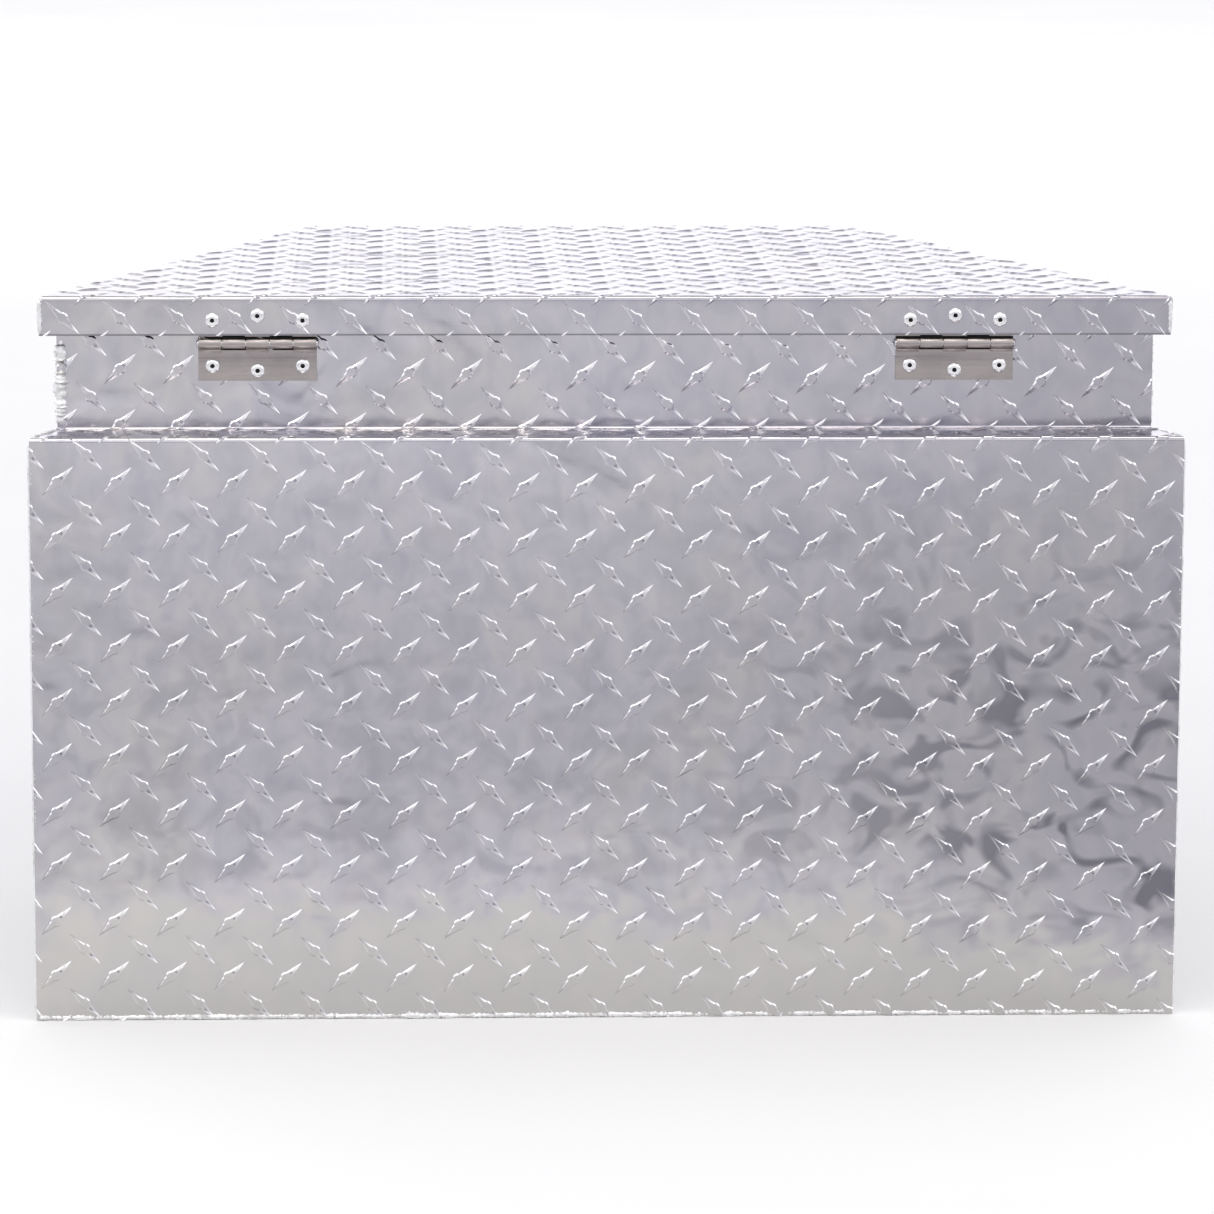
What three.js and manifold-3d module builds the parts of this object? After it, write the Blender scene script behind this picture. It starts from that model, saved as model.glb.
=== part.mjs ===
// A tread-plate tool box for the tongue of an A-frame trailer, in millimetres.
// +Z is up, the hinged back faces -Y and the latch side faces +Y. The origin is the bottom
// centre of the whole box. Left is -X and right is +X.
import * as THREE from "three";
import { mergeVertices } from "three/addons/utils/BufferGeometryUtils.js";
import Module from "manifold-3d";

const wasm = await Module();
wasm.setup();

// Driving dimensions
const BODY_WIDTH = 740; // across the lower back face
const LOWER_HEIGHT = 381; // floor to the top of the ledge
const NECK_HEIGHT = 61; // ledge to the lid's lower edge
const LEDGE_DEPTH = 42; // the neck's back face stands this far in from the lower back
const SIDE_TAPER = 0.38; // how much each side runs in for each millimetre forward
const LID_WIDTH = 730; // across the lid's back edge
const LID_DEPTH = 446;
const LID_FLANGE = 25.4;
const LID_OVERHANG = 8.6; // front face of the lid to the front face of the box
const SHEET = 2; // tread plate without its lugs
const GAP = 0.3; // between pieces that touch
const BEND_RADIUS = 3; // outside of a folded corner
const RIM_STEP = 5.6; // the rim stands this far up inside the lid
const RIM_FLANGE = 16; // the rim's inward fold, measured from the wall's outer face
const SEAL_OUTER = 4.5; // from the wall's outer face to the seal
const SEAL_WIDTH = 10;
const FLOOR_FLANGE = 22;

const HINGE_X = 225; // centre of each hinge from the middle of the box
const HINGE_LENGTH = 76.2;
const KNUCKLE_COUNT = 5;
const KNUCKLE_RADIUS = 3.6;
const LEAF_THICKNESS = 1.6;
const LEAF_HEIGHT = 24.2; // pin axis to the leaf's far edge
const PIN_RADIUS = 1.7;
const PIN_BORE_RADIUS = 2;
const PIN_DROP = 5.3; // pin axis below the lid's lower edge

const RIVET_SHANK_RADIUS = 2.4;
const RIVET_HOLE_RADIUS = 2.7;
const RIVET_HEAD_RADIUS = 4.9;
const RIVET_HEAD_HEIGHT = 2;
const RIVET_TAIL_RADIUS = 3.2;
const RIVET_TAIL_LENGTH = 3;

const STRUT_X = 245;
const STRUT_FOOT = { y: 30.3, z: -30.3 }; // from the hinge pin axis, lid shut
const STRUT_HEAD = { y: 172.3, z: 6.3 };
const CYLINDER_RADIUS = 7;
const CYLINDER_LENGTH = 88;
const ROD_RADIUS = 3;
const SOCKET_RADIUS = 6.5;
const SOCKET_WIDTH = 11;
const BALL_RADIUS = 4;

const LATCH_Z = 388; // centre of the latch dish
const DISH_WIDTH = 134;
const DISH_HEIGHT = 98;
const DISH_DEPTH = 20; // below the box's front face
const TRAY_WIDTH = 108;
const TRAY_HEIGHT = 74;
const DISH_SHEET = 1.5;
const LOCK_X = 37;
const LOCK_RADIUS = 8;

// Positions that follow from them
const BOX_DEPTH = LEDGE_DEPTH - GAP - LEAF_THICKNESS - GAP - SHEET + LID_DEPTH;
const BACK_Y = -BOX_DEPTH / 2; // the lower back face
const NECK_Y = BACK_Y + LEDGE_DEPTH;
const LID_BACK_Y = NECK_Y - GAP - LEAF_THICKNESS - GAP - SHEET;
const LID_FRONT_Y = LID_BACK_Y + LID_DEPTH;
const FRONT_Y = LID_FRONT_Y - LID_OVERHANG;
const LID_BOTTOM_Z = LOWER_HEIGHT + NECK_HEIGHT;
const LID_TOP_Z = LID_BOTTOM_Z + LID_FLANGE;
const LID_UNDERSIDE_Z = LID_TOP_Z - SHEET;
const RIM_Z = LID_BOTTOM_Z + RIM_STEP;
const PIN_Y = NECK_Y - GAP - KNUCKLE_RADIUS;
const PIN_Z = LID_BOTTOM_Z - PIN_DROP;
const SLANT = Math.hypot(1, SIDE_TAPER); // sideways distance for each unit square to a side

// The sideways distance from the middle to a side wall's outer face, less an inset square to it.
const bodyHalf = (y, inset = 0) => BODY_WIDTH / 2 - SIDE_TAPER * (y - BACK_Y) - inset * SLANT;
const lidHalf = (y, inset = 0) => LID_WIDTH / 2 - SIDE_TAPER * (y - LID_BACK_Y) - inset * SLANT;

// Materials
const finish = (color, roughness, metalness) => {
  return new THREE.MeshStandardMaterial({ color, roughness, metalness });
};
const treadPlate = () => finish(0xb9b8c0, 0.32, 1);
const hingeSteel = () => finish(0xa09892, 0.34, 1);
const brightSteel = () => finish(0xc8c8cc, 0.2, 1);
const rivetMetal = () => finish(0xd8d8dc, 0.28, 1);
const zincSteel = () => finish(0x9a9ca0, 0.45, 1);
const blackPaint = () => finish(0x17181a, 0.4, 0);
const blackPlastic = () => finish(0x1c1d1f, 0.6, 0);
const blackRubber = () => finish(0x151515, 0.85, 0);

// Solids: three.js geometry in and out, joined and cut as closed bodies
function solid(geometry) {
  const bare = geometry.clone();
  bare.deleteAttribute("normal");
  bare.deleteAttribute("uv");
  const merged = mergeVertices(bare, 1e-4);
  return new wasm.Manifold(new wasm.Mesh({
    numProp: 3,
    vertProperties: merged.attributes.position.array,
    triVerts: new Uint32Array(merged.index.array),
  }));
}

function geometryOf(body) {
  const mesh = body.getMesh();
  const geometry = new THREE.BufferGeometry();
  geometry.setAttribute("position", new THREE.BufferAttribute(mesh.vertProperties, 3));
  geometry.setIndex(new THREE.BufferAttribute(mesh.triVerts, 1));
  const flat = geometry.toNonIndexed();
  flat.computeVertexNormals();
  return flat;
}

const join = (...geometries) => geometryOf(geometries.map(solid).reduce((a, b) => a.add(b)));
const cut = (base, ...tools) => {
  return geometryOf(tools.map(solid).reduce((a, b) => a.subtract(b), solid(base)));
};
const common = (a, b) => geometryOf(solid(a).intersect(solid(b)));

// Basic shapes
const X = new THREE.Vector3(1, 0, 0);
const Y = new THREE.Vector3(0, 1, 0);
const Z = new THREE.Vector3(0, 0, 1);

const outline = (points) => new THREE.Shape(points.map(([u, v]) => new THREE.Vector2(u, v)));

function extruded(shape, depth) {
  return new THREE.ExtrudeGeometry(shape, { depth, bevelEnabled: false, curveSegments: 5 });
}

// An outline in X and Y, raised from z0 to z1.
function standing(points, z0, z1) {
  return extruded(outline(points), z1 - z0).translate(0, 0, z0);
}

// An outline in Y and Z, run along X from x0 to x1.
function alongX(shape, x0, x1) {
  const turned = extruded(shape, x1 - x0).applyMatrix4(new THREE.Matrix4().makeBasis(Y, Z, X));
  return turned.translate(x0, 0, 0);
}

// A shape in X and Z, run along Y from y0 to y1.
function alongY(shape, y0, y1) {
  const turn = new THREE.Matrix4().makeBasis(X, Z, Y.clone().negate());
  return extruded(shape, y1 - y0).applyMatrix4(turn).translate(0, y1, 0);
}

function block(x0, x1, y0, y1, z0, z1) {
  const box = new THREE.BoxGeometry(x1 - x0, y1 - y0, z1 - z0);
  return box.translate((x0 + x1) / 2, (y0 + y1) / 2, (z0 + z1) / 2);
}

function roundBarX(radius, x0, x1, y, z, sides = 16) {
  const bar = new THREE.CylinderGeometry(radius, radius, x1 - x0, sides).rotateZ(Math.PI / 2);
  return bar.translate((x0 + x1) / 2, y, z);
}

function roundBarY(radius, y0, y1, x, z, sides = 16) {
  const bar = new THREE.CylinderGeometry(radius, radius, y1 - y0, sides);
  return bar.translate(x, (y0 + y1) / 2, z);
}

function roundedRectangle(width, height, radius, x = 0, z = 0) {
  const shape = new THREE.Shape();
  const w = width / 2 - radius;
  const h = height / 2 - radius;
  shape.absarc(x + w, z + h, radius, 0, Math.PI / 2);
  shape.absarc(x - w, z + h, radius, Math.PI / 2, Math.PI);
  shape.absarc(x - w, z - h, radius, Math.PI, 1.5 * Math.PI);
  shape.absarc(x + w, z - h, radius, 1.5 * Math.PI, 2 * Math.PI);
  return shape;
}

// The outline of a folded sheet: the outer face's corner points, offset by the sheet thickness
// to their left, with each bend rounded.
function foldedSheet(corners, thickness) {
  const points = corners.map(([u, v]) => new THREE.Vector2(u, v));
  const runs = points.slice(1).map((p, i) => p.clone().sub(points[i]).normalize());
  const side = (run) => new THREE.Vector2(-run.y, run.x).multiplyScalar(thickness);
  const offset = points.map((p, i) => {
    const before = side(runs[Math.max(i - 1, 0)]);
    const after = side(runs[Math.min(i, runs.length - 1)]);
    const corner = before.clone().add(after);
    return corner.multiplyScalar(2 * thickness ** 2 / corner.lengthSq()).add(p);
  });
  const turnsLeft = (i) => runs[i - 1].cross(runs[i]) > 0;
  const radii = points.map((p, i) => {
    if (i === 0 || i === points.length - 1) return [0, 0];
    const outer = BEND_RADIUS;
    const inner = BEND_RADIUS - thickness;
    return turnsLeft(i) ? [outer, inner] : [inner, outer];
  });
  const near = points.flatMap((p, i) => bend(points, i, radii[i][0]));
  const far = offset.flatMap((p, i) => bend(offset, i, radii[i][1]));
  return new THREE.Shape([...near, ...far.reverse()]);
}

// The points that round the corner at index i of an open line by a radius.
function bend(line, i, radius) {
  if (radius === 0) return [line[i]];
  const back = line[i - 1].clone().sub(line[i]).normalize();
  const on = line[i + 1].clone().sub(line[i]).normalize();
  const start = line[i].clone().addScaledVector(back, radius);
  const end = line[i].clone().addScaledVector(on, radius);
  const centre = start.clone().addScaledVector(on, radius);
  const steps = 4;
  return Array.from({ length: steps + 1 }, (_, k) => {
    const angle = (Math.PI / 2) * (k / steps);
    const toStart = start.clone().sub(centre).multiplyScalar(Math.cos(angle));
    const toEnd = end.clone().sub(centre).multiplyScalar(Math.sin(angle));
    return centre.clone().add(toStart).add(toEnd);
  });
}

// A plan outline that follows both tapered sides between two lines across the box.
function plan(half, y0, y1, inset = 0) {
  return [[-half(y0, inset), y0], [half(y0, inset), y0], [half(y1, inset), y1], [-half(y1, inset), y1]];
}

const root = new THREE.Group();

function add(name, geometry, material) {
  const mesh = new THREE.Mesh(geometry, material);
  mesh.name = name;
  root.add(mesh);
  return mesh;
}

const SIDES = [["left", -1], ["right", 1]];

// Rivets
const HINGE_RIVETS = [
  { dx: -29, rise: 9.9, drop: 19.8 },
  { dx: 0, rise: 12.8, drop: 22.9 },
  { dx: 29, rise: 9.9, drop: 19.8 },
];
const lidRivetZ = (rivet) => LID_BOTTOM_Z + rivet.rise;
const bodyRivetZ = (rivet) => LID_BOTTOM_Z - rivet.drop;

// A blind rivet through a stack of sheets, its head at the origin facing -Y.
function rivetGeometry(stack) {
  const headEdge = 0.5;
  const hollow = 1.3; // where the mandrel was
  const profile = [
    [0, -RIVET_HEAD_HEIGHT + 1],
    [hollow, -RIVET_HEAD_HEIGHT + 0.8],
    [hollow, -RIVET_HEAD_HEIGHT],
    [RIVET_HEAD_RADIUS * 0.75, -RIVET_HEAD_HEIGHT * 0.72],
    [RIVET_HEAD_RADIUS, -headEdge],
    [RIVET_HEAD_RADIUS, -GAP / 2],
    [RIVET_SHANK_RADIUS, -GAP / 2],
    [RIVET_SHANK_RADIUS, stack + GAP],
    [RIVET_TAIL_RADIUS, stack + GAP + 0.6],
    [RIVET_TAIL_RADIUS, stack + RIVET_TAIL_LENGTH - 0.8],
    [0, stack + RIVET_TAIL_LENGTH],
  ];
  const points = profile.map(([r, along]) => new THREE.Vector2(r, along));
  return new THREE.LatheGeometry(points, 16);
}

function addHingeRivets(side, sign) {
  HINGE_RIVETS.forEach((rivet, i) => {
    const x = sign * HINGE_X + rivet.dx;
    const lidStack = SHEET + GAP + LEAF_THICKNESS;
    const lidRivet = rivetGeometry(lidStack).translate(x, LID_BACK_Y, lidRivetZ(rivet));
    add(`hinge_${side}_lid_rivet_${i + 1}`, lidRivet, rivetMetal());
    const leafFace = NECK_Y - GAP - LEAF_THICKNESS;
    const bodyStack = LEAF_THICKNESS + GAP + SHEET;
    const bodyRivet = rivetGeometry(bodyStack).translate(x, leafFace, bodyRivetZ(rivet));
    add(`hinge_${side}_body_rivet_${i + 1}`, bodyRivet, rivetMetal());
  });
}

function rivetHoles(zOf) {
  return SIDES.flatMap(([, sign]) => HINGE_RIVETS.map((rivet) => {
    const x = sign * HINGE_X + rivet.dx;
    return roundBarY(RIVET_HOLE_RADIUS, LID_BACK_Y - 1, NECK_Y + SHEET + 1, x, zOf(rivet));
  }));
}

// Body shell
function backPanel() {
  const fold = foldedSheet([
    [NECK_Y + RIM_FLANGE, RIM_Z],
    [NECK_Y, RIM_Z],
    [NECK_Y, LOWER_HEIGHT],
    [BACK_Y, LOWER_HEIGHT],
    [BACK_Y, 0],
  ], SHEET);
  const wallEnd = NECK_Y + SHEET + GAP / 2;
  const flangeEnd = NECK_Y + RIM_FLANGE + 1;
  const inner = SHEET + GAP;
  const limits = [
    [-bodyHalf(BACK_Y), BACK_Y],
    [bodyHalf(BACK_Y), BACK_Y],
    [bodyHalf(wallEnd), wallEnd],
    [bodyHalf(wallEnd, inner), wallEnd],
    [bodyHalf(flangeEnd, inner), flangeEnd],
    [-bodyHalf(flangeEnd, inner), flangeEnd],
    [-bodyHalf(wallEnd, inner), wallEnd],
    [-bodyHalf(wallEnd), wallEnd],
  ];
  const folded = alongX(fold, -BODY_WIDTH / 2 - 1, BODY_WIDTH / 2 + 1);
  return cut(common(folded, standing(limits, -1, RIM_Z + 1)), ...rivetHoles(bodyRivetZ));
}

function frontPanel() {
  const fold = foldedSheet([
    [FRONT_Y, 0],
    [FRONT_Y, RIM_Z],
    [FRONT_Y - RIM_FLANGE, RIM_Z],
  ], SHEET);
  const wallStart = FRONT_Y - SHEET - GAP / 2;
  const flangeStart = FRONT_Y - RIM_FLANGE - 1;
  const inner = SHEET + GAP;
  const limits = [
    [-bodyHalf(flangeStart, inner), flangeStart],
    [bodyHalf(flangeStart, inner), flangeStart],
    [bodyHalf(wallStart, inner), wallStart],
    [bodyHalf(wallStart), wallStart],
    [bodyHalf(FRONT_Y), FRONT_Y],
    [-bodyHalf(FRONT_Y), FRONT_Y],
    [-bodyHalf(wallStart), wallStart],
    [-bodyHalf(wallStart, inner), wallStart],
  ];
  const folded = alongX(fold, -BODY_WIDTH / 2, BODY_WIDTH / 2);
  const trayHole = roundedRectangle(TRAY_WIDTH + 3, TRAY_HEIGHT + 3, 7, 0, LATCH_Z);
  return cut(
    common(folded, standing(limits, -1, RIM_Z + 1)),
    alongY(trayHole, FRONT_Y - SHEET - 1, FRONT_Y + 1),
    ...dishRivetPlaces().map(([x, z]) => {
      return roundBarY(RIVET_HOLE_RADIUS, FRONT_Y - SHEET - 1, FRONT_Y + 1, x, z);
    }),
  );
}

// A side wall: its outline seen from the side stands inside the folded back sheet.
function sidePanel(sign) {
  const start = BACK_Y + SHEET + GAP;
  const neckStart = NECK_Y + SHEET + GAP;
  const end = FRONT_Y - SHEET - GAP;
  const underLedge = LOWER_HEIGHT - SHEET - GAP;
  const relief = 1.5; // clears the inside of the bends
  const elevation = outline([
    [start, 0],
    [end, 0],
    [end, RIM_Z - relief],
    [end - relief, RIM_Z],
    [neckStart + relief, RIM_Z],
    [neckStart, RIM_Z - relief],
    [neckStart, underLedge],
    [start + relief, underLedge],
    [start, underLedge - relief],
  ]);
  const strip = (y0, y1, width) => [
    [bodyHalf(y0, width), y0],
    [bodyHalf(y0), y0],
    [bodyHalf(y1), y1],
    [bodyHalf(y1, width), y1],
  ];
  const wall = common(
    standing(strip(start - 1, end + 1, SHEET), -1, RIM_Z + 1),
    alongX(elevation, 0, BODY_WIDTH / 2 + 1),
  );
  const flangeStart = NECK_Y + RIM_FLANGE + GAP;
  const flangeEnd = FRONT_Y - RIM_FLANGE - GAP;
  const rim = standing(strip(flangeStart, flangeEnd, RIM_FLANGE), RIM_Z - SHEET, RIM_Z);
  const panel = join(wall, rim);
  return sign > 0 ? panel : mirrored(panel);
}

function mirrored(geometry) {
  const flipped = geometry.clone().scale(-1, 1, 1);
  const position = flipped.attributes.position;
  const corner = [new THREE.Vector3(), new THREE.Vector3()];
  for (let i = 0; i < position.count; i += 3) {
    corner.forEach((v, k) => v.fromBufferAttribute(position, i + 1 + k));
    position.setXYZ(i + 1, ...corner[1]);
    position.setXYZ(i + 2, ...corner[0]);
  }
  flipped.computeVertexNormals();
  return flipped;
}

function floorPan() {
  const y0 = BACK_Y + SHEET + GAP;
  const y1 = FRONT_Y - SHEET - GAP;
  const inset = SHEET + GAP;
  const outer = standing(plan(bodyHalf, y0, y1, inset), 0, FLOOR_FLANGE);
  const hollow = plan(bodyHalf, y0 + SHEET, y1 - SHEET, inset + SHEET);
  return cut(outer, standing(hollow, SHEET, FLOOR_FLANGE + 1));
}

function rimSeal() {
  const inner = SEAL_OUTER + SEAL_WIDTH;
  const ring = outline(plan(bodyHalf, NECK_Y + SEAL_OUTER, FRONT_Y - SEAL_OUTER, SEAL_OUTER));
  const opening = outline(plan(bodyHalf, NECK_Y + inner, FRONT_Y - inner, inner));
  ring.holes.push(opening);
  const height = LID_UNDERSIDE_Z - GAP - (RIM_Z + GAP);
  return extruded(ring, height).translate(0, 0, RIM_Z + GAP);
}

function addBody() {
  add("back_panel", backPanel(), treadPlate());
  add("front_panel", frontPanel(), treadPlate());
  for (const [side, sign] of SIDES) add(`${side}_side_panel`, sidePanel(sign), treadPlate());
  add("floor_pan", floorPan(), treadPlate());
  add("rim_seal", rimSeal(), blackRubber());
}

// Lid
const STIFFENER = { y: LID_BACK_Y + 305, width: 62, top: 30, height: 12, half: 175, sheet: 1.5 };

function lidSkin() {
  const outer = standing(plan(lidHalf, LID_BACK_Y, LID_FRONT_Y), LID_BOTTOM_Z, LID_TOP_Z);
  const hollow = plan(lidHalf, LID_BACK_Y + SHEET, LID_FRONT_Y - SHEET, SHEET);
  const inside = standing(hollow, LID_BOTTOM_Z - 1, LID_UNDERSIDE_Z);
  return cut(outer, inside, ...rivetHoles(lidRivetZ));
}

// A hat-section channel across the inside of the lid.
function lidStiffener() {
  const { y, width, top, height, half, sheet } = STIFFENER;
  const face = LID_UNDERSIDE_Z - GAP;
  const section = outline([
    [y - width / 2, face],
    [y - width / 2, face - sheet],
    [y - top / 2 - sheet, face - sheet],
    [y - top / 2, face - height],
    [y + top / 2, face - height],
    [y + top / 2 + sheet, face - sheet],
    [y + width / 2, face - sheet],
    [y + width / 2, face],
    [y + top / 2 + sheet * 0.4, face],
    [y + top / 2 - sheet, face - height + sheet],
    [y - top / 2 + sheet, face - height + sheet],
    [y - top / 2 - sheet * 0.4, face],
  ]);
  return alongX(section, -half, half);
}

function addLid() {
  add("lid_skin", lidSkin(), treadPlate());
  add("lid_stiffener", lidStiffener(), treadPlate());
}

// Hinges
function knuckleSpan(index) {
  const pitch = HINGE_LENGTH / KNUCKLE_COUNT;
  const start = -HINGE_LENGTH / 2 + index * pitch;
  return [start + GAP / 2, start + pitch - GAP / 2];
}

// A leaf for the hinge at x. up is 1 for the lid's leaf and -1 for the body's.
function hingeLeaf(x, up) {
  const owns = (index) => (index % 2 === 1) === (up === 1);
  const indices = Array.from({ length: KNUCKLE_COUNT }, (_, index) => index);
  const plateBack = NECK_Y - GAP;
  const clearance = KNUCKLE_RADIUS + 0.5;
  const spanZ = (a, b) => [PIN_Z + Math.min(up * a, up * b), PIN_Z + Math.max(up * a, up * b)];
  const plate = block(
    x - HINGE_LENGTH / 2, x + HINGE_LENGTH / 2,
    plateBack - LEAF_THICKNESS, plateBack,
    ...spanZ(clearance, LEAF_HEIGHT),
  );
  const wraps = indices.filter(owns).flatMap((index) => {
    const [x0, x1] = knuckleSpan(index);
    return [
      block(x + x0, x + x1, plateBack - LEAF_THICKNESS, plateBack, ...spanZ(0, clearance + 1)),
      roundBarX(KNUCKLE_RADIUS, x + x0, x + x1, PIN_Y, PIN_Z),
    ];
  });
  const bore = roundBarX(PIN_BORE_RADIUS, x - HINGE_LENGTH, x + HINGE_LENGTH, PIN_Y, PIN_Z);
  const holes = rivetHoles(up === 1 ? lidRivetZ : bodyRivetZ);
  return cut(join(plate, ...wraps), bore, ...holes);
}

function hingePin(x) {
  const headLength = 1.2;
  const half = HINGE_LENGTH / 2;
  const headStart = half + GAP / 2;
  const shaft = roundBarX(PIN_RADIUS, x - headStart - 0.5, x + headStart + 0.5, PIN_Y, PIN_Z);
  const heads = [-1, 1].map((end) => {
    const inner = x + end * headStart;
    const outer = x + end * (headStart + headLength);
    const [x0, x1] = [Math.min(inner, outer), Math.max(inner, outer)];
    return roundBarX(KNUCKLE_RADIUS - 0.8, x0, x1, PIN_Y, PIN_Z);
  });
  return join(shaft, ...heads);
}

function addHinges() {
  for (const [side, sign] of SIDES) {
    add(`hinge_${side}_body_leaf`, hingeLeaf(sign * HINGE_X, -1), hingeSteel());
    add(`hinge_${side}_lid_leaf`, hingeLeaf(sign * HINGE_X, 1), hingeSteel());
    add(`hinge_${side}_pin`, hingePin(sign * HINGE_X), brightSteel());
    addHingeRivets(side, sign);
  }
}

// Gas struts
const foot = { y: PIN_Y + STRUT_FOOT.y, z: PIN_Z + STRUT_FOOT.z };
const head = { y: PIN_Y + STRUT_HEAD.y, z: PIN_Z + STRUT_HEAD.z };
const strutLength = Math.hypot(head.y - foot.y, head.z - foot.z);
const strutAngle = Math.atan2(head.z - foot.z, head.y - foot.y);
const EAR_GAP = 3.2; // socket face to the bracket's ear
const EAR_SHEET = 2;
const EAR_WIDTH = 22;

// A bar of the strut: a Lathe profile of radius and distance from the foot, laid along the strut.
function strutLathe(profile, sides) {
  const points = profile.map(([r, along]) => new THREE.Vector2(r, along));
  const bar = new THREE.LatheGeometry(points, sides).rotateX(strutAngle);
  return bar.translate(0, foot.y, foot.z);
}

const earPlane = (sign) => sign * (STRUT_X - SOCKET_WIDTH / 2 - EAR_GAP);

// Sorts the two ends of a span across the box, for a piece on either side.
const span = (a, b) => [Math.min(a, b), Math.max(a, b)];

function socket(sign, at) {
  const [x0, x1] = span(sign * (STRUT_X - SOCKET_WIDTH / 2), sign * (STRUT_X + SOCKET_WIDTH / 2));
  const bore = span(sign * (STRUT_X - SOCKET_WIDTH), sign * (STRUT_X + SOCKET_WIDTH / 2 - 1.5));
  const eye = roundBarX(SOCKET_RADIUS, x0, x1, at.y, at.z);
  return { eye, bore: roundBarX(BALL_RADIUS + GAP, ...bore, at.y, at.z) };
}

function ballStud(sign, at) {
  const ear = earPlane(sign);
  const seat = span(ear + sign * GAP, ear + sign * (EAR_GAP - 1));
  const neck = span(ear + sign * GAP, sign * STRUT_X);
  const ball = new THREE.SphereGeometry(BALL_RADIUS, 12, 8).rotateZ(Math.PI / 2);
  return join(
    roundBarX(BALL_RADIUS + 1, ...seat, at.y, at.z, 6),
    roundBarX(BALL_RADIUS / 2, ...neck, at.y, at.z, 12),
    ball.translate(sign * STRUT_X, at.y, at.z),
  );
}

function footSocket(sign) {
  const { eye, bore } = socket(sign, foot);
  const neck = strutLathe([[0, 5], [5, 5], [5, 13], [0, 13]], 12).translate(sign * STRUT_X, 0, 0);
  return cut(join(eye, neck), bore);
}

function headSocket(sign) {
  const { eye, bore } = socket(sign, head);
  const end = strutLength;
  const profile = [[0, end - 15], [5, end - 15], [5, end - 5], [0, end - 5]];
  const neck = strutLathe(profile, 12).translate(sign * STRUT_X, 0, 0);
  return cut(join(eye, neck), bore);
}

function strutCylinder(sign) {
  const start = 13 + GAP;
  const end = start + CYLINDER_LENGTH;
  const r = CYLINDER_RADIUS;
  const bore = ROD_RADIUS + GAP;
  const profile = [
    [0, start], [r - 1, start], [r, start + 1.5], [r, end - 4], [r - 1, end - 2.5],
    [r - 1, end], [bore, end], [bore, start + 4], [0, start + 4],
  ];
  return strutLathe(profile, 16).translate(sign * STRUT_X, 0, 0);
}

function strutRod(sign) {
  const start = 13 + GAP + 4 + 2;
  const end = strutLength - 15 - GAP;
  const profile = [[0, start], [ROD_RADIUS, start], [ROD_RADIUS, end], [0, end]];
  return strutLathe(profile, 12).translate(sign * STRUT_X, 0, 0);
}

// The bracket on the inside of the neck's back wall that holds the strut's foot.
function footBracket(sign) {
  const wall = NECK_Y + SHEET + GAP;
  const ear = earPlane(sign);
  const base = span(ear, ear - sign * 28);
  const tab = span(ear, ear - sign * EAR_SHEET);
  const z = [foot.z - 14, foot.z + 7];
  return join(
    block(...base, wall, wall + EAR_SHEET, ...z),
    block(...tab, wall, foot.y + EAR_WIDTH / 2 - 3, ...z),
  );
}

// The bracket under the lid that takes the strut's head.
function headBracket(sign) {
  const face = LID_UNDERSIDE_Z - GAP;
  const ear = earPlane(sign);
  const base = span(ear, ear - sign * 26);
  const tab = span(ear, ear - sign * EAR_SHEET);
  const y = [head.y - EAR_WIDTH / 2, head.y + EAR_WIDTH / 2];
  return join(
    block(...base, ...y, face - EAR_SHEET, face),
    block(...tab, ...y, head.z - 8, face),
  );
}

function addStruts() {
  for (const [side, sign] of SIDES) {
    add(`strut_${side}_body_bracket`, footBracket(sign), zincSteel());
    add(`strut_${side}_body_stud`, ballStud(sign, foot), zincSteel());
    add(`strut_${side}_foot_socket`, footSocket(sign), blackPlastic());
    add(`strut_${side}_cylinder`, strutCylinder(sign), blackPaint());
    add(`strut_${side}_rod`, strutRod(sign), brightSteel());
    add(`strut_${side}_head_socket`, headSocket(sign), blackPlastic());
    add(`strut_${side}_lid_stud`, ballStud(sign, head), zincSteel());
    add(`strut_${side}_lid_bracket`, headBracket(sign), zincSteel());
  }
}

// Latch. Its pieces are placed from the front face and the dish's centre.
const PADDLE_PIVOT = { y: FRONT_Y - 6, z: LATCH_Z + 27 };
const PAWL_PIVOT = { y: FRONT_Y - 38, z: LATCH_Z + 12 };
const STRIKER_Y = FRONT_Y - 46;

function dishRivetPlaces() {
  const x = DISH_WIDTH / 2 - 6.5;
  const z = DISH_HEIGHT / 2 - 6;
  return [[-x, LATCH_Z - z], [x, LATCH_Z - z], [-x, LATCH_Z + z], [x, LATCH_Z + z]];
}

function latchGasket() {
  const ring = roundedRectangle(DISH_WIDTH, DISH_HEIGHT, 9, 0, LATCH_Z);
  ring.holes.push(roundedRectangle(TRAY_WIDTH + 3, TRAY_HEIGHT + 3, 7, 0, LATCH_Z));
  const sheet = alongY(ring, FRONT_Y + GAP, FRONT_Y + 1.4);
  return cut(sheet, ...dishRivetPlaces().map(([x, z]) => {
    return roundBarY(RIVET_HOLE_RADIUS, FRONT_Y, FRONT_Y + 2, x, z);
  }));
}

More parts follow.
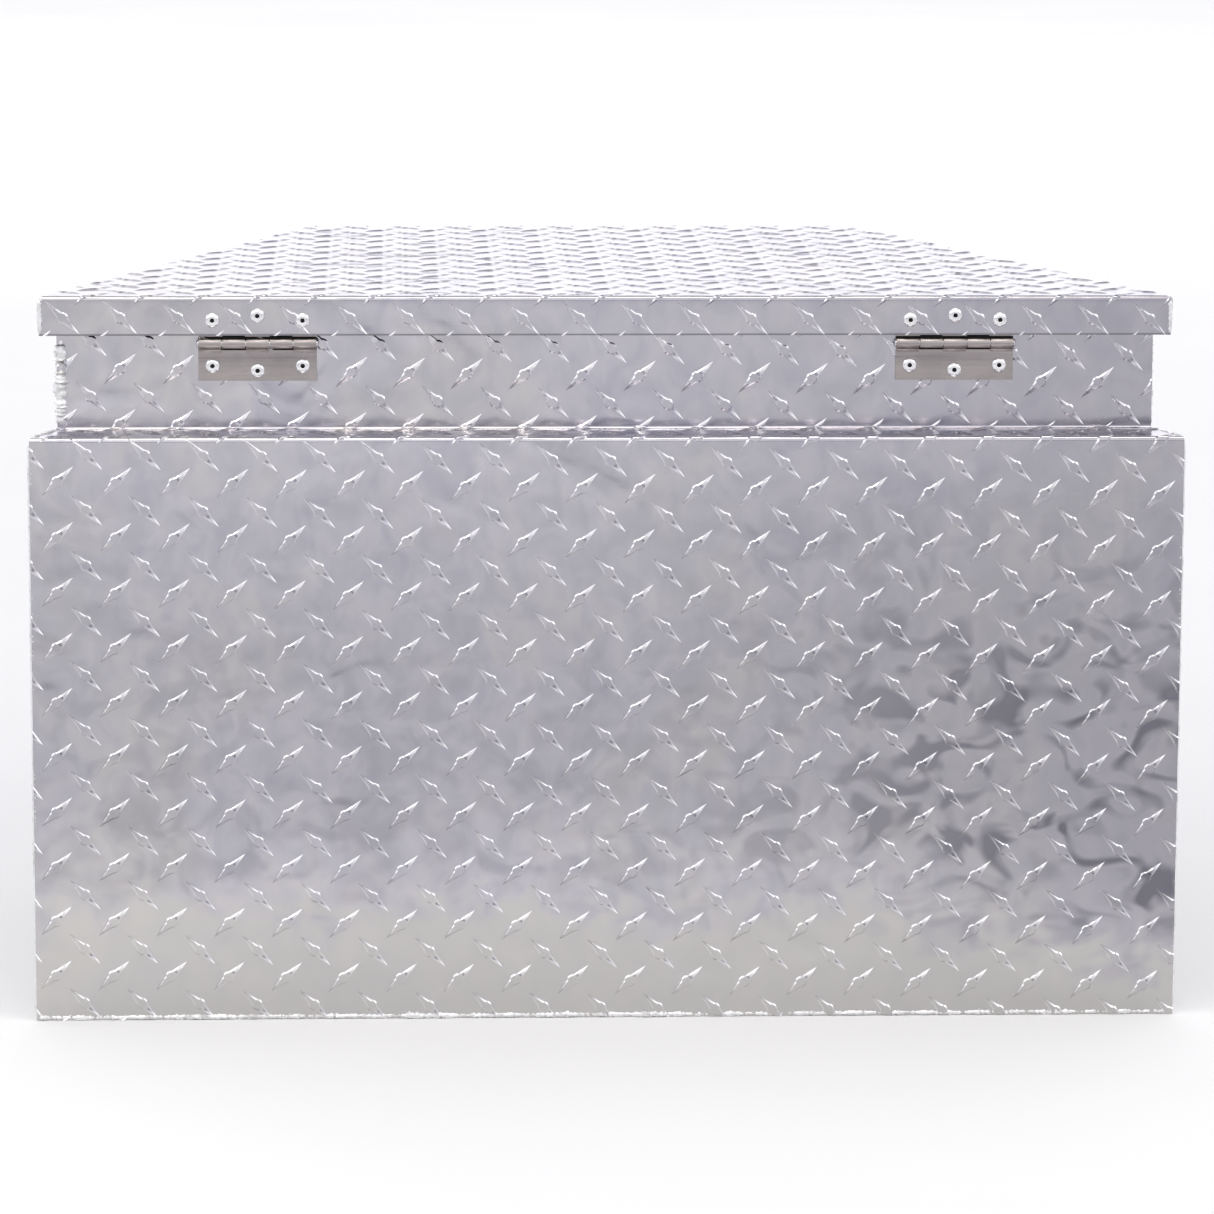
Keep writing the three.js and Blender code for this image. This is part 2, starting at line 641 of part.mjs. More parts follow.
function latchDish() {
  const flange = roundedRectangle(DISH_WIDTH, DISH_HEIGHT, 9, 0, LATCH_Z);
  const tray = roundedRectangle(TRAY_WIDTH, TRAY_HEIGHT, 6, 0, LATCH_Z);
  const wall = 2 * DISH_SHEET;
  const hollow = roundedRectangle(TRAY_WIDTH - wall, TRAY_HEIGHT - wall, 5, 0, LATCH_Z);
  const back = FRONT_Y - DISH_DEPTH;
  const face = FRONT_Y + 1.7;
  const armSlot = block(-5, 5, back - 1, back + 3, LATCH_Z + 5, LATCH_Z + 32);
  return cut(
    join(alongY(flange, face, face + DISH_SHEET), alongY(tray, back, face + DISH_SHEET / 2)),
    alongY(hollow, back + DISH_SHEET, face + DISH_SHEET + 1),
    armSlot,
    roundBarY(LOCK_RADIUS + GAP, back - 1, back + 3, LOCK_X, LATCH_Z, 24),
    ...[-1, 1].map((end) => paddlePinBore(end)),
    ...dishRivetPlaces().map(([x, z]) => roundBarY(RIVET_HOLE_RADIUS, face - 1, face + 3, x, z)),
  );
}

const PADDLE_SPAN = [-47, 21];
const PADDLE_LENGTH = 43;
const PADDLE_PIN_RADIUS = 2;

function paddlePinBore(end) {
  const wall = end * (TRAY_WIDTH / 2);
  const span0 = Math.min(wall - end * 4, wall + end * 2);
  const span1 = Math.max(wall - end * 4, wall + end * 2);
  return roundBarX(PADDLE_PIN_RADIUS + GAP, span0, span1, PADDLE_PIVOT.y, PADDLE_PIVOT.z, 12);
}

function paddlePin() {
  const half = TRAY_WIDTH / 2 + 1;
  return roundBarX(PADDLE_PIN_RADIUS, -half, half, PADDLE_PIVOT.y, PADDLE_PIVOT.z, 12);
}

// The pull plate with its finger lip, its two hinge eyes and the arm that tips the pawl.
function paddle() {
  const { y, z } = PADDLE_PIVOT;
  const [x0, x1] = PADDLE_SPAN;
  const eyeRadius = PADDLE_PIN_RADIUS + 2;
  const foot = z - PADDLE_LENGTH;
  const plate = foldedSheet([[y + 4, foot + 3], [y + 4, z + 3]], 2.5);
  const lip = outline([
    [y + 4, foot + 3],
    [y + 7, foot + 1.5],
    [y + 6, foot],
    [y + 2, foot],
    [y + 1.5, foot + 3.5],
  ]);
  const eye = (a, b) => roundBarX(eyeRadius, a, b, y, z, 12);
  const arm = outline([[y - 1, z + 3], [y - 21, z - 1], [y - 21, z - 6], [y - 1, z - 3.5]]);
  return cut(
    join(
      alongX(plate, x0, x1),
      alongX(lip, x0, x1),
      eye(x0, x0 + 8),
      eye(x1 - 8, x1),
      eye(-8, 8),
      alongX(arm, -3, 3),
    ),
    roundBarX(PADDLE_PIN_RADIUS + GAP, x0 - 1, x1 + 1, y, z, 12),
  );
}

// Two cheeks and a web behind the dish that carry the pawl's pin.
function pawlBracket() {
  const front = FRONT_Y - DISH_DEPTH - GAP;
  const { y, z } = PAWL_PIVOT;
  const cheek = outline([[front, z - 12], [front, z + 16], [y - 6, z + 6], [y - 6, z - 6]]);
  return cut(
    join(
      alongX(cheek, -10, -8),
      alongX(cheek, 8, 10),
      block(-10, 10, front - 2, front, z - 12, z - 8),
    ),
    roundBarX(PADDLE_PIN_RADIUS + GAP, -12, 12, y, z, 12),
  );
}

function pawlPin() {
  return roundBarX(PADDLE_PIN_RADIUS, -12, 12, PAWL_PIVOT.y, PAWL_PIVOT.z, 12);
}

// The hook that holds the lid's striker, with a tail for the paddle's arm.
function pawl() {
  const { y, z } = PAWL_PIVOT;
  const hook = outline([
    [y + 4, z - 4],
    [y + 5, z + 2],
    [y + 9.5, z + 3],
    [y + 9.5, z + 8],
    [y + 4, z + 9],
    [y + 3, z + 24],
    [y - 4, z + 24],
    [y - 6, z + 19],
    [y - 3, z + 18],
    [y - 4, z - 4],
  ]);
  return cut(alongX(hook, -3, 3), roundBarX(PADDLE_PIN_RADIUS + GAP, -12, 12, y, z, 12));
}

// A torsion spring on the pawl's pin, beside the pawl.
function pawlSpring() {
  const { y, z } = PAWL_PIVOT;
  const turns = 3;
  const radius = 3.3;
  class Helix extends THREE.Curve {
    getPoint(t) {
      const angle = 2 * Math.PI * turns * t;
      const along = 3.9 + 3.2 * t;
      return new THREE.Vector3(along, y + radius * Math.cos(angle), z + radius * Math.sin(angle));
    }
  }
  const wire = new THREE.Shape();
  wire.absarc(0, 0, 0.4, 0, 2 * Math.PI);
  return new THREE.ExtrudeGeometry(wire, {
    steps: 14 * turns,
    curveSegments: 3,
    extrudePath: new Helix(),
  });
}

function striker() {
  const face = LID_UNDERSIDE_Z - GAP;
  const half = 14;
  const drop = PAWL_PIVOT.z + 8;
  const plate = block(-half, half, STRIKER_Y - 2, STRIKER_Y, drop, face);
  const base = block(-half, half, STRIKER_Y - 26, STRIKER_Y, face - 2, face);
  const window = block(-6, 6, STRIKER_Y - 3, STRIKER_Y + 1, drop + 6, drop + 20);
  return cut(join(plate, base), window);
}

function lockBarrel() {
  const back = FRONT_Y - DISH_DEPTH - 9;
  const barrel = roundBarY(LOCK_RADIUS, back, FRONT_Y - 7, LOCK_X, LATCH_Z, 24);
  return cut(barrel, roundBarY(5 + GAP, back - 1, FRONT_Y, LOCK_X, LATCH_Z, 20));
}

// The turning plug with its key slot, and the cam on its inner end.
function lockPlug() {
  const back = FRONT_Y - DISH_DEPTH - 9 - GAP;
  const face = FRONT_Y - 7.2;
  const camPlate = block(LOCK_X - 5, LOCK_X + 5, back - 2, back, LATCH_Z - 22, LATCH_Z + 6);
  return cut(
    join(roundBarY(5, back - 1, face, LOCK_X, LATCH_Z, 20), camPlate),
    block(LOCK_X - 0.6, LOCK_X + 0.6, face - 6, face + 1, LATCH_Z - 3.2, LATCH_Z + 3.2),
  );
}

function addLatch() {
  add("latch_gasket", latchGasket(), blackRubber());
  add("latch_dish", latchDish(), brightSteel());
  add("latch_paddle_pin", paddlePin(), zincSteel());
  add("latch_paddle", paddle(), brightSteel());
  add("latch_pawl_bracket", pawlBracket(), zincSteel());
  add("latch_pawl_pin", pawlPin(), zincSteel());
  add("latch_pawl", pawl(), zincSteel());
  add("latch_pawl_spring", pawlSpring(), brightSteel());
  add("latch_striker", striker(), zincSteel());
  add("latch_lock_barrel", lockBarrel(), brightSteel());
  add("latch_lock_plug", lockPlug(), zincSteel());
  dishRivetPlaces().forEach(([x, z], i) => {
    const stack = DISH_SHEET + 1.7 + SHEET;
    const rivet = rivetGeometry(stack).rotateZ(Math.PI);
    add(`latch_rivet_${i + 1}`, rivet.translate(x, FRONT_Y + 1.7 + DISH_SHEET, z), rivetMetal());
  });
}

addBody();
addLid();
addHinges();
addStruts();
addLatch();

export default root;
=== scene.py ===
"""The looks of the tread-plate tool box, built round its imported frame."""
import math

import bmesh
import bpy
import numpy as np
from mathutils import Matrix, Vector, geometry


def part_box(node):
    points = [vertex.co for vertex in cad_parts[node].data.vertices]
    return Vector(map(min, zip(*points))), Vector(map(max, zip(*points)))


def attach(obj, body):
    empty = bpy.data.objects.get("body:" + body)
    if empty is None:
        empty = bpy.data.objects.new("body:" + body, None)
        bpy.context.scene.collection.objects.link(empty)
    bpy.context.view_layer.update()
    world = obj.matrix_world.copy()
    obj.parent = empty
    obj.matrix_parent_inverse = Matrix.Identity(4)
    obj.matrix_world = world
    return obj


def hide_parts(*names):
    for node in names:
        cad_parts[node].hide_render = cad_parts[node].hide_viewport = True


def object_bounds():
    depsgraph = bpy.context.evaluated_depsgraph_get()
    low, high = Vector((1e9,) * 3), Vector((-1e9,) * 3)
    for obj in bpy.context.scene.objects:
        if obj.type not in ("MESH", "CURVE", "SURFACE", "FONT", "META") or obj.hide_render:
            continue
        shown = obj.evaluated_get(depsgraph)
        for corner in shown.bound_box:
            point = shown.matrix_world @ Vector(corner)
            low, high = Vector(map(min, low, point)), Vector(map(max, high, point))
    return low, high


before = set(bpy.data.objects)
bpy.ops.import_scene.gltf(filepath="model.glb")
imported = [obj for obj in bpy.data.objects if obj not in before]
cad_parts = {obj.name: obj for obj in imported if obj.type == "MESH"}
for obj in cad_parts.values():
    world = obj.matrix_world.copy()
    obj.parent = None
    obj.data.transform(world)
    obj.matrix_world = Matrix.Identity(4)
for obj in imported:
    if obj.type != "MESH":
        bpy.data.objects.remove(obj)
CAD_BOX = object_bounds()
MM = 0.001
UP = np.array([0.0, 0.0, 1.0])
rng = np.random.default_rng(11)

# Camera, floor and light --------------------

CAMERA_PLACE = (-0.1473, -3.7238, 0.8706)
CAMERA_DOWN = 0.17043
CAMERA_TO_RIGHT = 0.0420
CAMERA_ROLL = 0.0040
CAMERA_LENS = 163.1


def add_camera():
    data = bpy.data.cameras.new("camera")
    camera = bpy.data.objects.new("camera", data)
    bpy.context.scene.collection.objects.link(camera)
    data.sensor_width = 36
    data.lens = CAMERA_LENS
    data.clip_end = 200
    ahead = Vector((
        math.sin(CAMERA_TO_RIGHT) * math.cos(CAMERA_DOWN),
        math.cos(CAMERA_TO_RIGHT) * math.cos(CAMERA_DOWN),
        -math.sin(CAMERA_DOWN),
    ))
    across = Vector((math.cos(CAMERA_TO_RIGHT), -math.sin(CAMERA_TO_RIGHT), 0))
    over = across.cross(ahead)
    right = across * math.cos(CAMERA_ROLL) + over * math.sin(CAMERA_ROLL)
    up = over * math.cos(CAMERA_ROLL) - across * math.sin(CAMERA_ROLL)
    rows = [(right[i], up[i], -ahead[i], CAMERA_PLACE[i]) for i in range(3)]
    camera.matrix_world = Matrix(rows + [(0, 0, 0, 1)])
    bpy.context.scene.camera = camera


def add_light(name, place, target, size, power, colour=(1, 1, 1), spread=180):
    data = bpy.data.lights.new(name, "AREA")
    data.spread = math.radians(spread)
    data.shape = "RECTANGLE"
    data.size, data.size_y = size
    data.energy = power
    data.color = colour
    light = bpy.data.objects.new(name, data)
    bpy.context.scene.collection.objects.link(light)
    light.location = place
    aim = Vector(target) - Vector(place)
    light.rotation_euler = aim.to_track_quat("-Z", "Y").to_euler()


def add_sun(toward, strength, spread, colour):
    data = bpy.data.lights.new("sun", "SUN")
    data.energy = strength
    data.angle = math.radians(spread)
    data.color = colour
    light = bpy.data.objects.new("sun", data)
    bpy.context.scene.collection.objects.link(light)
    light.rotation_euler = Vector(toward).to_track_quat("-Z", "Y").to_euler()


def add_sky():
    world = bpy.data.worlds.new("studio")
    bpy.context.scene.world = world
    world.use_nodes = True
    tree = world.node_tree
    coordinates = tree.nodes.new("ShaderNodeTexCoord")
    split = tree.nodes.new("ShaderNodeSeparateXYZ")
    height = tree.nodes.new("ShaderNodeValToRGB")
    depth = tree.nodes.new("ShaderNodeMapRange")
    depth_tone = tree.nodes.new("ShaderNodeValToRGB")
    shade = tree.nodes.new("ShaderNodeMix")
    shade.data_type = "RGBA"
    tree.links.new(coordinates.outputs["Generated"], split.inputs[0])
    tree.links.new(split.outputs["Z"], height.inputs[0])
    tree.links.new(split.outputs["Y"], depth.inputs[0])
    depth.inputs[1].default_value = -1
    tree.links.new(depth.outputs[0], depth_tone.inputs[0])
    set_stops(depth_tone, [(0.0, (0.46, 0.46, 0.53)), (0.45, (0.78, 0.78, 0.84)),
                           (1.0, (1.50, 1.48, 1.60))])
    set_stops(height, [(0.0, (0, 0, 0)), (0.12, (0, 0, 0)), (0.28, (1, 1, 1))])
    tree.links.new(height.outputs["Color"], shade.inputs[0])
    tree.links.new(depth_tone.outputs["Color"], shade.inputs[6])
    upper = tree.nodes.new("ShaderNodeValToRGB")
    set_stops(upper, [(0.0, (1.30, 1.30, 1.33)), (0.76, (1.30, 1.30, 1.33)),
                      (0.92, (0.52, 0.52, 0.56))])
    tree.links.new(split.outputs["Z"], upper.inputs[0])
    tree.links.new(upper.outputs["Color"], shade.inputs[7])
    background = tree.nodes["Background"]
    background.inputs["Strength"].default_value = 1.0
    tree.links.new(shade.outputs[2], background.inputs["Color"])


def add_floor():
    half = 60
    mesh = bpy.data.meshes.new("floor")
    corners = [(-half, -half, 0), (half, -half, 0), (half, half, 0), (-half, half, 0)]
    mesh.from_pydata(corners, [], [(0, 1, 2, 3)])
    floor = bpy.data.objects.new("floor", mesh)
    floor.location.z = CAD_BOX[0].z - 0.0002
    bpy.context.scene.collection.objects.link(floor)
    floor.data.materials.append(paper_material())


# Materials --------------------

def set_stops(ramp, stops):
    elements = ramp.color_ramp.elements
    while len(elements) < len(stops):
        elements.new(0.5)
    for element, (place, colour) in zip(elements, stops):
        element.position = place
        element.color = (*colour, 1)


class Shader:
    """A material being wired up. The methods that make a value return its socket."""

    def __init__(self, name, colour, roughness, metallic):
        self.material = bpy.data.materials.new(name)
        self.material.use_nodes = True
        self.tree = self.material.node_tree
        self.surface = self.tree.nodes["Principled BSDF"]
        self.surface.inputs["Base Color"].default_value = (*colour, 1)
        self.surface.inputs["Roughness"].default_value = roughness
        self.surface.inputs["Metallic"].default_value = metallic
        self.material.diffuse_color = (*colour, 1)
        self.place = self.add("ShaderNodeTexCoord").outputs["Object"]
        self.height = None

    def add(self, kind, **settings):
        node = self.tree.nodes.new(kind)
        for key, value in settings.items():
            setattr(node, key, value)
        return node

    def join(self, node, **sources):
        for key, source in sources.items():
            socket = node.inputs[int(key[1:]) if key[1:].isdigit() else key]
            if isinstance(source, (int, float)):
                socket.default_value = source
            else:
                self.tree.links.new(source, socket)

    def axes(self):
        split = self.add("ShaderNodeSeparateXYZ")
        self.join(split, _0=self.place)
        return split.outputs

    def noise(self, scale, stretch=(1, 1, 1), detail=2, rough=0.5, warp=0.0):
        moved = self.add("ShaderNodeMapping")
        moved.inputs["Scale"].default_value = stretch
        self.join(moved, _0=self.place)
        node = self.add("ShaderNodeTexNoise")
        node.inputs["Scale"].default_value = scale
        node.inputs["Detail"].default_value = detail
        node.inputs["Roughness"].default_value = rough
        node.inputs["Distortion"].default_value = warp
        self.join(node, _0=moved.outputs[0])
        return node.outputs["Fac"]

    def cells(self, scale):
        node = self.add("ShaderNodeTexVoronoi")
        node.inputs["Scale"].default_value = scale
        self.join(node, _0=self.place)
        return node.outputs["Distance"]

    def attribute(self, name):
        return self.add("ShaderNodeAttribute", attribute_name=name).outputs["Fac"]

    def ramp(self, source, stops):
        node = self.add("ShaderNodeValToRGB")
        set_stops(node, stops)
        self.join(node, _0=source)
        return node.outputs["Color"]

    def remap(self, source, low, high, start=0.3, end=0.7):
        node = self.add("ShaderNodeMapRange")
        self.join(node, _0=source, _1=start, _2=end, _3=low, _4=high)
        return node.outputs[0]

    def maths(self, kind, a, b):
        node = self.add("ShaderNodeMath", operation=kind)
        self.join(node, _0=a, _1=b)
        return node.outputs[0]

    def mix(self, share, a, b, kind="MIX"):
        node = self.add("ShaderNodeMix", data_type="RGBA", blend_type=kind)
        for index, source in ((0, share), (6, a), (7, b)):
            if isinstance(source, tuple):
                node.inputs[index].default_value = (*source, 1)
            elif isinstance(source, (int, float)):
                node.inputs[index].default_value = source
            else:
                self.tree.links.new(source, node.inputs[index])
        return node.outputs[2]

    def colour(self, source):
        self.tree.links.new(source, self.surface.inputs["Base Color"])

    def roughness(self, source):
        self.tree.links.new(source, self.surface.inputs["Roughness"])

    def bump(self, source, depth, strength=1.0):
        node = self.add("ShaderNodeBump")
        node.inputs["Distance"].default_value = depth
        node.inputs["Strength"].default_value = strength
        self.join(node, Height=source)
        if self.height:
            self.join(node, Normal=self.height)
        self.height = node.outputs[0]
        self.join(self.surface, Normal=self.height)


def paper_material():
    shader = Shader("paper", (0.79, 0.79, 0.79), 0.9, 0)
    tone = shader.noise(2.0, detail=3)
    shader.colour(shader.ramp(tone, [(0.3, (0.78, 0.78, 0.78)), (0.7, (0.80, 0.80, 0.80))]))
    return shader.material


BLACK, WHITE = (0, 0, 0), (1, 1, 1)


def sheet_tone(shader):
    """Soft clouds with a finer mottle in them."""
    clouds = shader.ramp(shader.noise(5.5, detail=3, rough=0.55, warp=1.2), [
        (0.32, (0.495, 0.485, 0.545)),
        (0.50, (0.53, 0.515, 0.56)),
        (0.68, (0.55, 0.535, 0.535)),
    ])
    mottle = shader.ramp(shader.noise(44, (1, 1, 0.7), detail=3, rough=0.6, warp=0.8), [
        (0.36, (0.42, 0.42, 0.47)),
        (0.52, (0.53, 0.51, 0.55)),
        (0.66, (0.62, 0.59, 0.59)),
    ])
    return shader.mix(0.42, clouds, mottle)


def painted_reflection_tone(shader, tone):
    """Painted reflections in place of what the sheet mirrors: a darker band at mid height, with
    wavy dark patches in it towards the right of the back, painted shade darkening the back towards
    the right, a warm, lighter band low down, and painted shade on the lid top."""
    along, across, height = shader.axes()
    wander = shader.noise(28, (1, 1, 1.3), detail=1, warp=1.3)
    level = shader.maths("ADD", height, shader.remap(wander, -0.02, 0.02, 0.3, 0.7))
    level = shader.maths("ADD", level, shader.remap(along, 0.0, 0.04, 0.18, 0.36))
    # Painted reflection: a darker band at mid height.
    painted_band = shader.ramp(shader.remap(level, 0.0, 1.0, 0.0, 0.4), [
        (0.0, BLACK), (0.18, BLACK), (0.34, WHITE), (0.6, WHITE),
        (0.84, (0.4, 0.4, 0.4)), (0.98, BLACK),
    ])
    # Painted reflection: wavy dark patches in the band towards the right of the back.
    near_back = shader.remap(across, 1.0, 0.35, -0.2, -0.1)
    to_right = shader.maths("MULTIPLY", shader.remap(along, 0.16, 1.15, 0.08, 0.33), near_back)
    painted_patch = shader.maths("MULTIPLY", shader.remap(wander, 0.0, 1.0, 0.46, 0.64), to_right)
    tone = shader.mix(shader.maths("MULTIPLY", painted_patch, painted_band), tone, (0.16, 0.16, 0.19))
    # Painted shade: the back darker towards the right.
    painted_right_shade = shader.maths("MULTIPLY", shader.remap(along, 0.0, 0.42, 0.0, 0.36), near_back)
    tone = shader.mix(painted_right_shade, tone, (0.29, 0.28, 0.32))
    # Painted reflection: the whole band a little darker.
    tone = shader.mix(shader.maths("MULTIPLY", painted_band, 0.18), tone, BLACK)
    # Painted shade: the lid top a little darker.
    painted_lid_shade = shader.remap(height, 0.0, 0.12, 0.462, 0.466)
    tone = shader.mix(painted_lid_shade, tone, BLACK)
    # Painted reflection: a warm, lighter band low down.
    painted_warm_reflection = shader.remap(level, 0.65, 0.0, 0.056, 0.08)
    return shader.mix(painted_warm_reflection, tone, (0.575, 0.56, 0.53))


def painted_lip_shade(shader, tone):
    """A painted dark line along the lower edge of the lid's flange: painted shade in place of the
    shadow and dark reflection there.
    """
    _, across, height = shader.axes()
    from_lip = shader.maths("ADD", height, -LID_BOTTOM_Z * MM)
    below = shader.remap(from_lip, 1.0, 0.0, 0.0008, 0.0014)
    above = shader.remap(from_lip, 0.0, 1.0, -0.002, -0.001)
    on_flange = shader.remap(across, 1.0, 0.0, (LID_BACK_Y + 2) * MM, (LID_BACK_Y + 4) * MM)
    # Painted shade: how strongly the dark line shows at each point.
    lip_shade = shader.maths("MULTIPLY", shader.maths("MULTIPLY", below, above), on_flange)
    return shader.mix(shader.maths("MULTIPLY", lip_shade, 0.75), tone, (0.16, 0.16, 0.17))


def painted_lug_light(shader, tone):
    """Painted highlights on the lugs' upward-facing edges and a painted shade line round the lugs'
    feet.
    """
    # Painted highlight on the lugs' sloping edges.
    edge = shader.maths("MULTIPLY", shader.attribute("edge"), 0.95)
    tone = shader.mix(edge, tone, (0.93, 0.92, 0.93))
    # Painted shade round the lugs' feet.
    foot = shader.maths("MULTIPLY", shader.attribute("foot"), 0.7)
    return shader.mix(foot, tone, (0.30, 0.30, 0.33))


def tread_material():
    """Bright rolled aluminium with its lugs, a soft waviness and fine rolling lines. Its colour
    also carries painted reflections, painted highlights on the lugs and painted shade.
    """
    shader = Shader("tread_plate", (0.6, 0.59, 0.64), 0.18, 1)
    tone = painted_reflection_tone(shader, sheet_tone(shader))
    shader.colour(painted_lug_light(shader, painted_lip_shade(shader, tone)))
    shader.roughness(shader.remap(shader.noise(14, detail=4, rough=0.6), 0.12, 0.2))
    ripple = shader.noise(19, detail=1, warp=1.0)
    shaken = shader.remap(shader.noise(4.5, detail=1), 0.35, 1.0, 0.42, 0.62)
    shader.bump(shader.maths("MULTIPLY", ripple, shaken), 0.0024, 1.0)
    shader.bump(shader.noise(420, (0.05, 0.05, 1.0), detail=2), 0.00002, 0.5)
    shader.bump(shader.noise(1500, detail=2), 0.00001, 0.4)
    return shader.material


def mill_material():
    """The plain inner face of the plate: dull, with rolling lines and handling marks."""
    shader = Shader("mill_aluminium", (0.72, 0.72, 0.74), 0.42, 1)
    clouds = shader.noise(7, detail=4, warp=0.8)
    shader.colour(shader.ramp(clouds, [
        (0.3, (0.66, 0.66, 0.69)), (0.7, (0.79, 0.79, 0.80)),
    ]))
    shader.roughness(shader.remap(shader.noise(30, detail=5), 0.34, 0.5))
    shader.bump(shader.noise(300, (0.04, 1.0, 1.0), detail=3), 0.00003, 0.5)
    return shader.material


def weld_material():
    """A frosty, lightly sooted aluminium bead."""
    shader = Shader("weld_bead", (0.8, 0.8, 0.8), 0.42, 1)
    soot = shader.noise(90, detail=5, rough=0.65)
    shader.colour(shader.ramp(soot, [
        (0.30, (0.52, 0.51, 0.50)), (0.48, (0.80, 0.80, 0.80)), (0.7, (0.93, 0.93, 0.94)),
    ]))
    shader.roughness(shader.remap(soot, 0.5, 0.33))
    shader.bump(shader.noise(900, detail=3), 0.00008, 0.6)
    return shader.material


def brushed_material(name, dark, bright, roughness, grain=(0.03, 1, 1)):
    """Stainless or bright steel with a grain drawn along one direction."""
    shader = Shader(name, dark, roughness, 1)
    lines = shader.noise(700, grain, detail=4, rough=0.7)
    clouds = shader.noise(45, detail=3, warp=0.5)
    shade = shader.ramp(lines, [(0.35, dark), (0.65, bright)])
    worn = shader.ramp(clouds, [(0.35, (0.86, 0.86, 0.86)), (0.7, (1.0, 1.0, 1.0))])
    shader.colour(shader.mix(1.0, shade, worn, "MULTIPLY"))
    shader.roughness(shader.remap(lines, roughness - 0.06, roughness + 0.08))
    shader.bump(lines, 0.00002, 0.5)
    return shader.material


def zinc_material():
    """Bright zinc plate with its faint spangle."""
    shader = Shader("zinc_plate", (0.55, 0.56, 0.58), 0.36, 1)
    spangle = shader.cells(320)
    shader.colour(shader.ramp(spangle, [
        (0.1, (0.46, 0.48, 0.52)), (0.5, (0.60, 0.60, 0.60)), (0.9, (0.66, 0.65, 0.60)),
    ]))
    shader.roughness(shader.remap(shader.noise(60, detail=4), 0.28, 0.46))
    shader.bump(shader.noise(500, detail=3), 0.00003, 0.4)
    return shader.material


def dark_material(name, colour, worn, roughness, scale, depth):
    """Black paint, moulded plastic, rubber, or a near-black painted shade: a faint mottle, dust and
    a fine skin.
    """
    shader = Shader(name, colour, roughness, 0)
    dust = shader.noise(scale / 6, detail=5, rough=0.6)
    shader.colour(shader.ramp(dust, [(0.45, colour), (0.8, worn)]))
    shader.roughness(shader.remap(dust, roughness - 0.08, roughness + 0.1))
    shader.bump(shader.noise(scale, detail=2), depth, 0.6)
    return shader.material


# Mesh helpers --------------------

def finish_piece(obj, body, nodes=()):
    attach(obj, body)
    if nodes:
        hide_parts(*nodes)


def new_object(name, vertices, faces, materials):
    """A mesh object from points in millimetres."""
    mesh = bpy.data.meshes.new(name)
    mesh.from_pydata((np.asarray(vertices) * MM).tolist(), [], faces)
    for material in materials:
        mesh.materials.append(material)
    obj = bpy.data.objects.new(name, mesh)
    bpy.context.scene.collection.objects.link(obj)
    return obj


def smooth(obj, degrees=35):
    mesh = obj.data
    mesh.polygons.foreach_set("use_smooth", [True] * len(mesh.polygons))
    mesh.set_sharp_from_angle(angle=math.radians(degrees))
    return obj


def bevelled(obj, width, segments=2):
    """Rounds the hard edges for good, so that the piece's own mesh has them."""
    modifier = obj.modifiers.new("bevel", "BEVEL")
    modifier.width = width * MM
    modifier.segments = segments
    modifier.limit_method = "ANGLE"
    modifier.angle_limit = math.radians(40)
    evaluated = obj.evaluated_get(bpy.context.evaluated_depsgraph_get())
    mesh = bpy.data.meshes.new_from_object(evaluated)
    obj.modifiers.clear()
    obj.data = mesh
    return obj


def ring_faces(rings, sides, closed=False):
    """Quads between rings of points that follow each other."""
    faces = []
    count = rings if closed else rings - 1
    for i in range(count):
        a, b = i * sides, (i + 1) % rings * sides
        for k in range(sides):
            n = (k + 1) % sides
            faces.append((a + k, a + n, b + n, b + k))
    return faces


def corner(node, which):
    """A corner of a CAD node's box, in millimetres."""
    return np.array(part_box(node)[which]) / MM


def middle_of(node):
    return (corner(node, 0) + corner(node, 1)) / 2


def points_of(node):
    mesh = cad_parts[node].data
    co = np.empty(len(mesh.vertices) * 3, np.float32)
    mesh.vertices.foreach_get("co", co)
    return co.reshape(-1, 3).astype(float) / MM


# Leading sizes in millimetres: the sheets' own, then the box's, read from the frame
SHEET = 2.0
BEND = 3.0
HOLLOW_BEND = 1.5
RIM_FLANGE = 16.0
WALL_GAP = 2.3
back_points = points_of("back_panel")
BACK_Y = back_points[:, 1].min()
NECK_Y = back_points[:, 1].max() - RIM_FLANGE
RIM_Z = back_points[:, 2].max()
LEDGE_Z = back_points[back_points[:, 1] < BACK_Y + 0.1][:, 2].max() + BEND
BACK_HALF = back_points[:, 0].max()
FRONT_Y = corner("front_panel", 1)[1]
lid_points = points_of("lid_skin")
LID_BACK_Y, LID_FRONT_Y = lid_points[:, 1].min(), lid_points[:, 1].max()
LID_BOTTOM_Z, LID_TOP_Z = lid_points[:, 2].min(), lid_points[:, 2].max()
LID_BACK_HALF = lid_points[:, 0].max()
LID_FRONT_HALF = lid_points[lid_points[:, 1] > LID_FRONT_Y - 0.1][:, 0].max()
TAPER = (LID_BACK_HALF - LID_FRONT_HALF) / (LID_FRONT_Y - LID_BACK_Y)
SLANT = math.hypot(1, TAPER)


def body_half(y, inset=0.0):
    return BACK_HALF - TAPER * (y - BACK_Y) - inset * SLANT


def lid_half(y, inset=0.0):
    return LID_BACK_HALF - TAPER * (y - LID_BACK_Y) - inset * SLANT


# Tread plate: lugs --------------------

LUG_HALF = 16.2  # centre to tip
LUG_WAIST = 3.1  # half width where the straight edges would meet
BOSS = 3.9  # the round swelling at mid length
LUG_HEIGHT = 0.98
SHOULDER = 1.2  # width of the sloping edge
EDGE_COS = LUG_HALF / math.hypot(LUG_HALF, LUG_WAIST)
RINGS = (-0.4, -0.03, 0.06, 0.6, 1.15, 1.25)  # insets of the outlines that a lug's mesh follows
FLAT_GRID = 9.0  # between the mesh's points on the flat
QUILT = 0.08  # height of the sheet's dimpling between the lugs
SWELL = 0.16  # height of its long waves
FOLD_STEPS = 4  # flat steps round a fold
FOOT_SHADE_REACH = 0.4  # how far the painted shade line reaches from a lug's foot


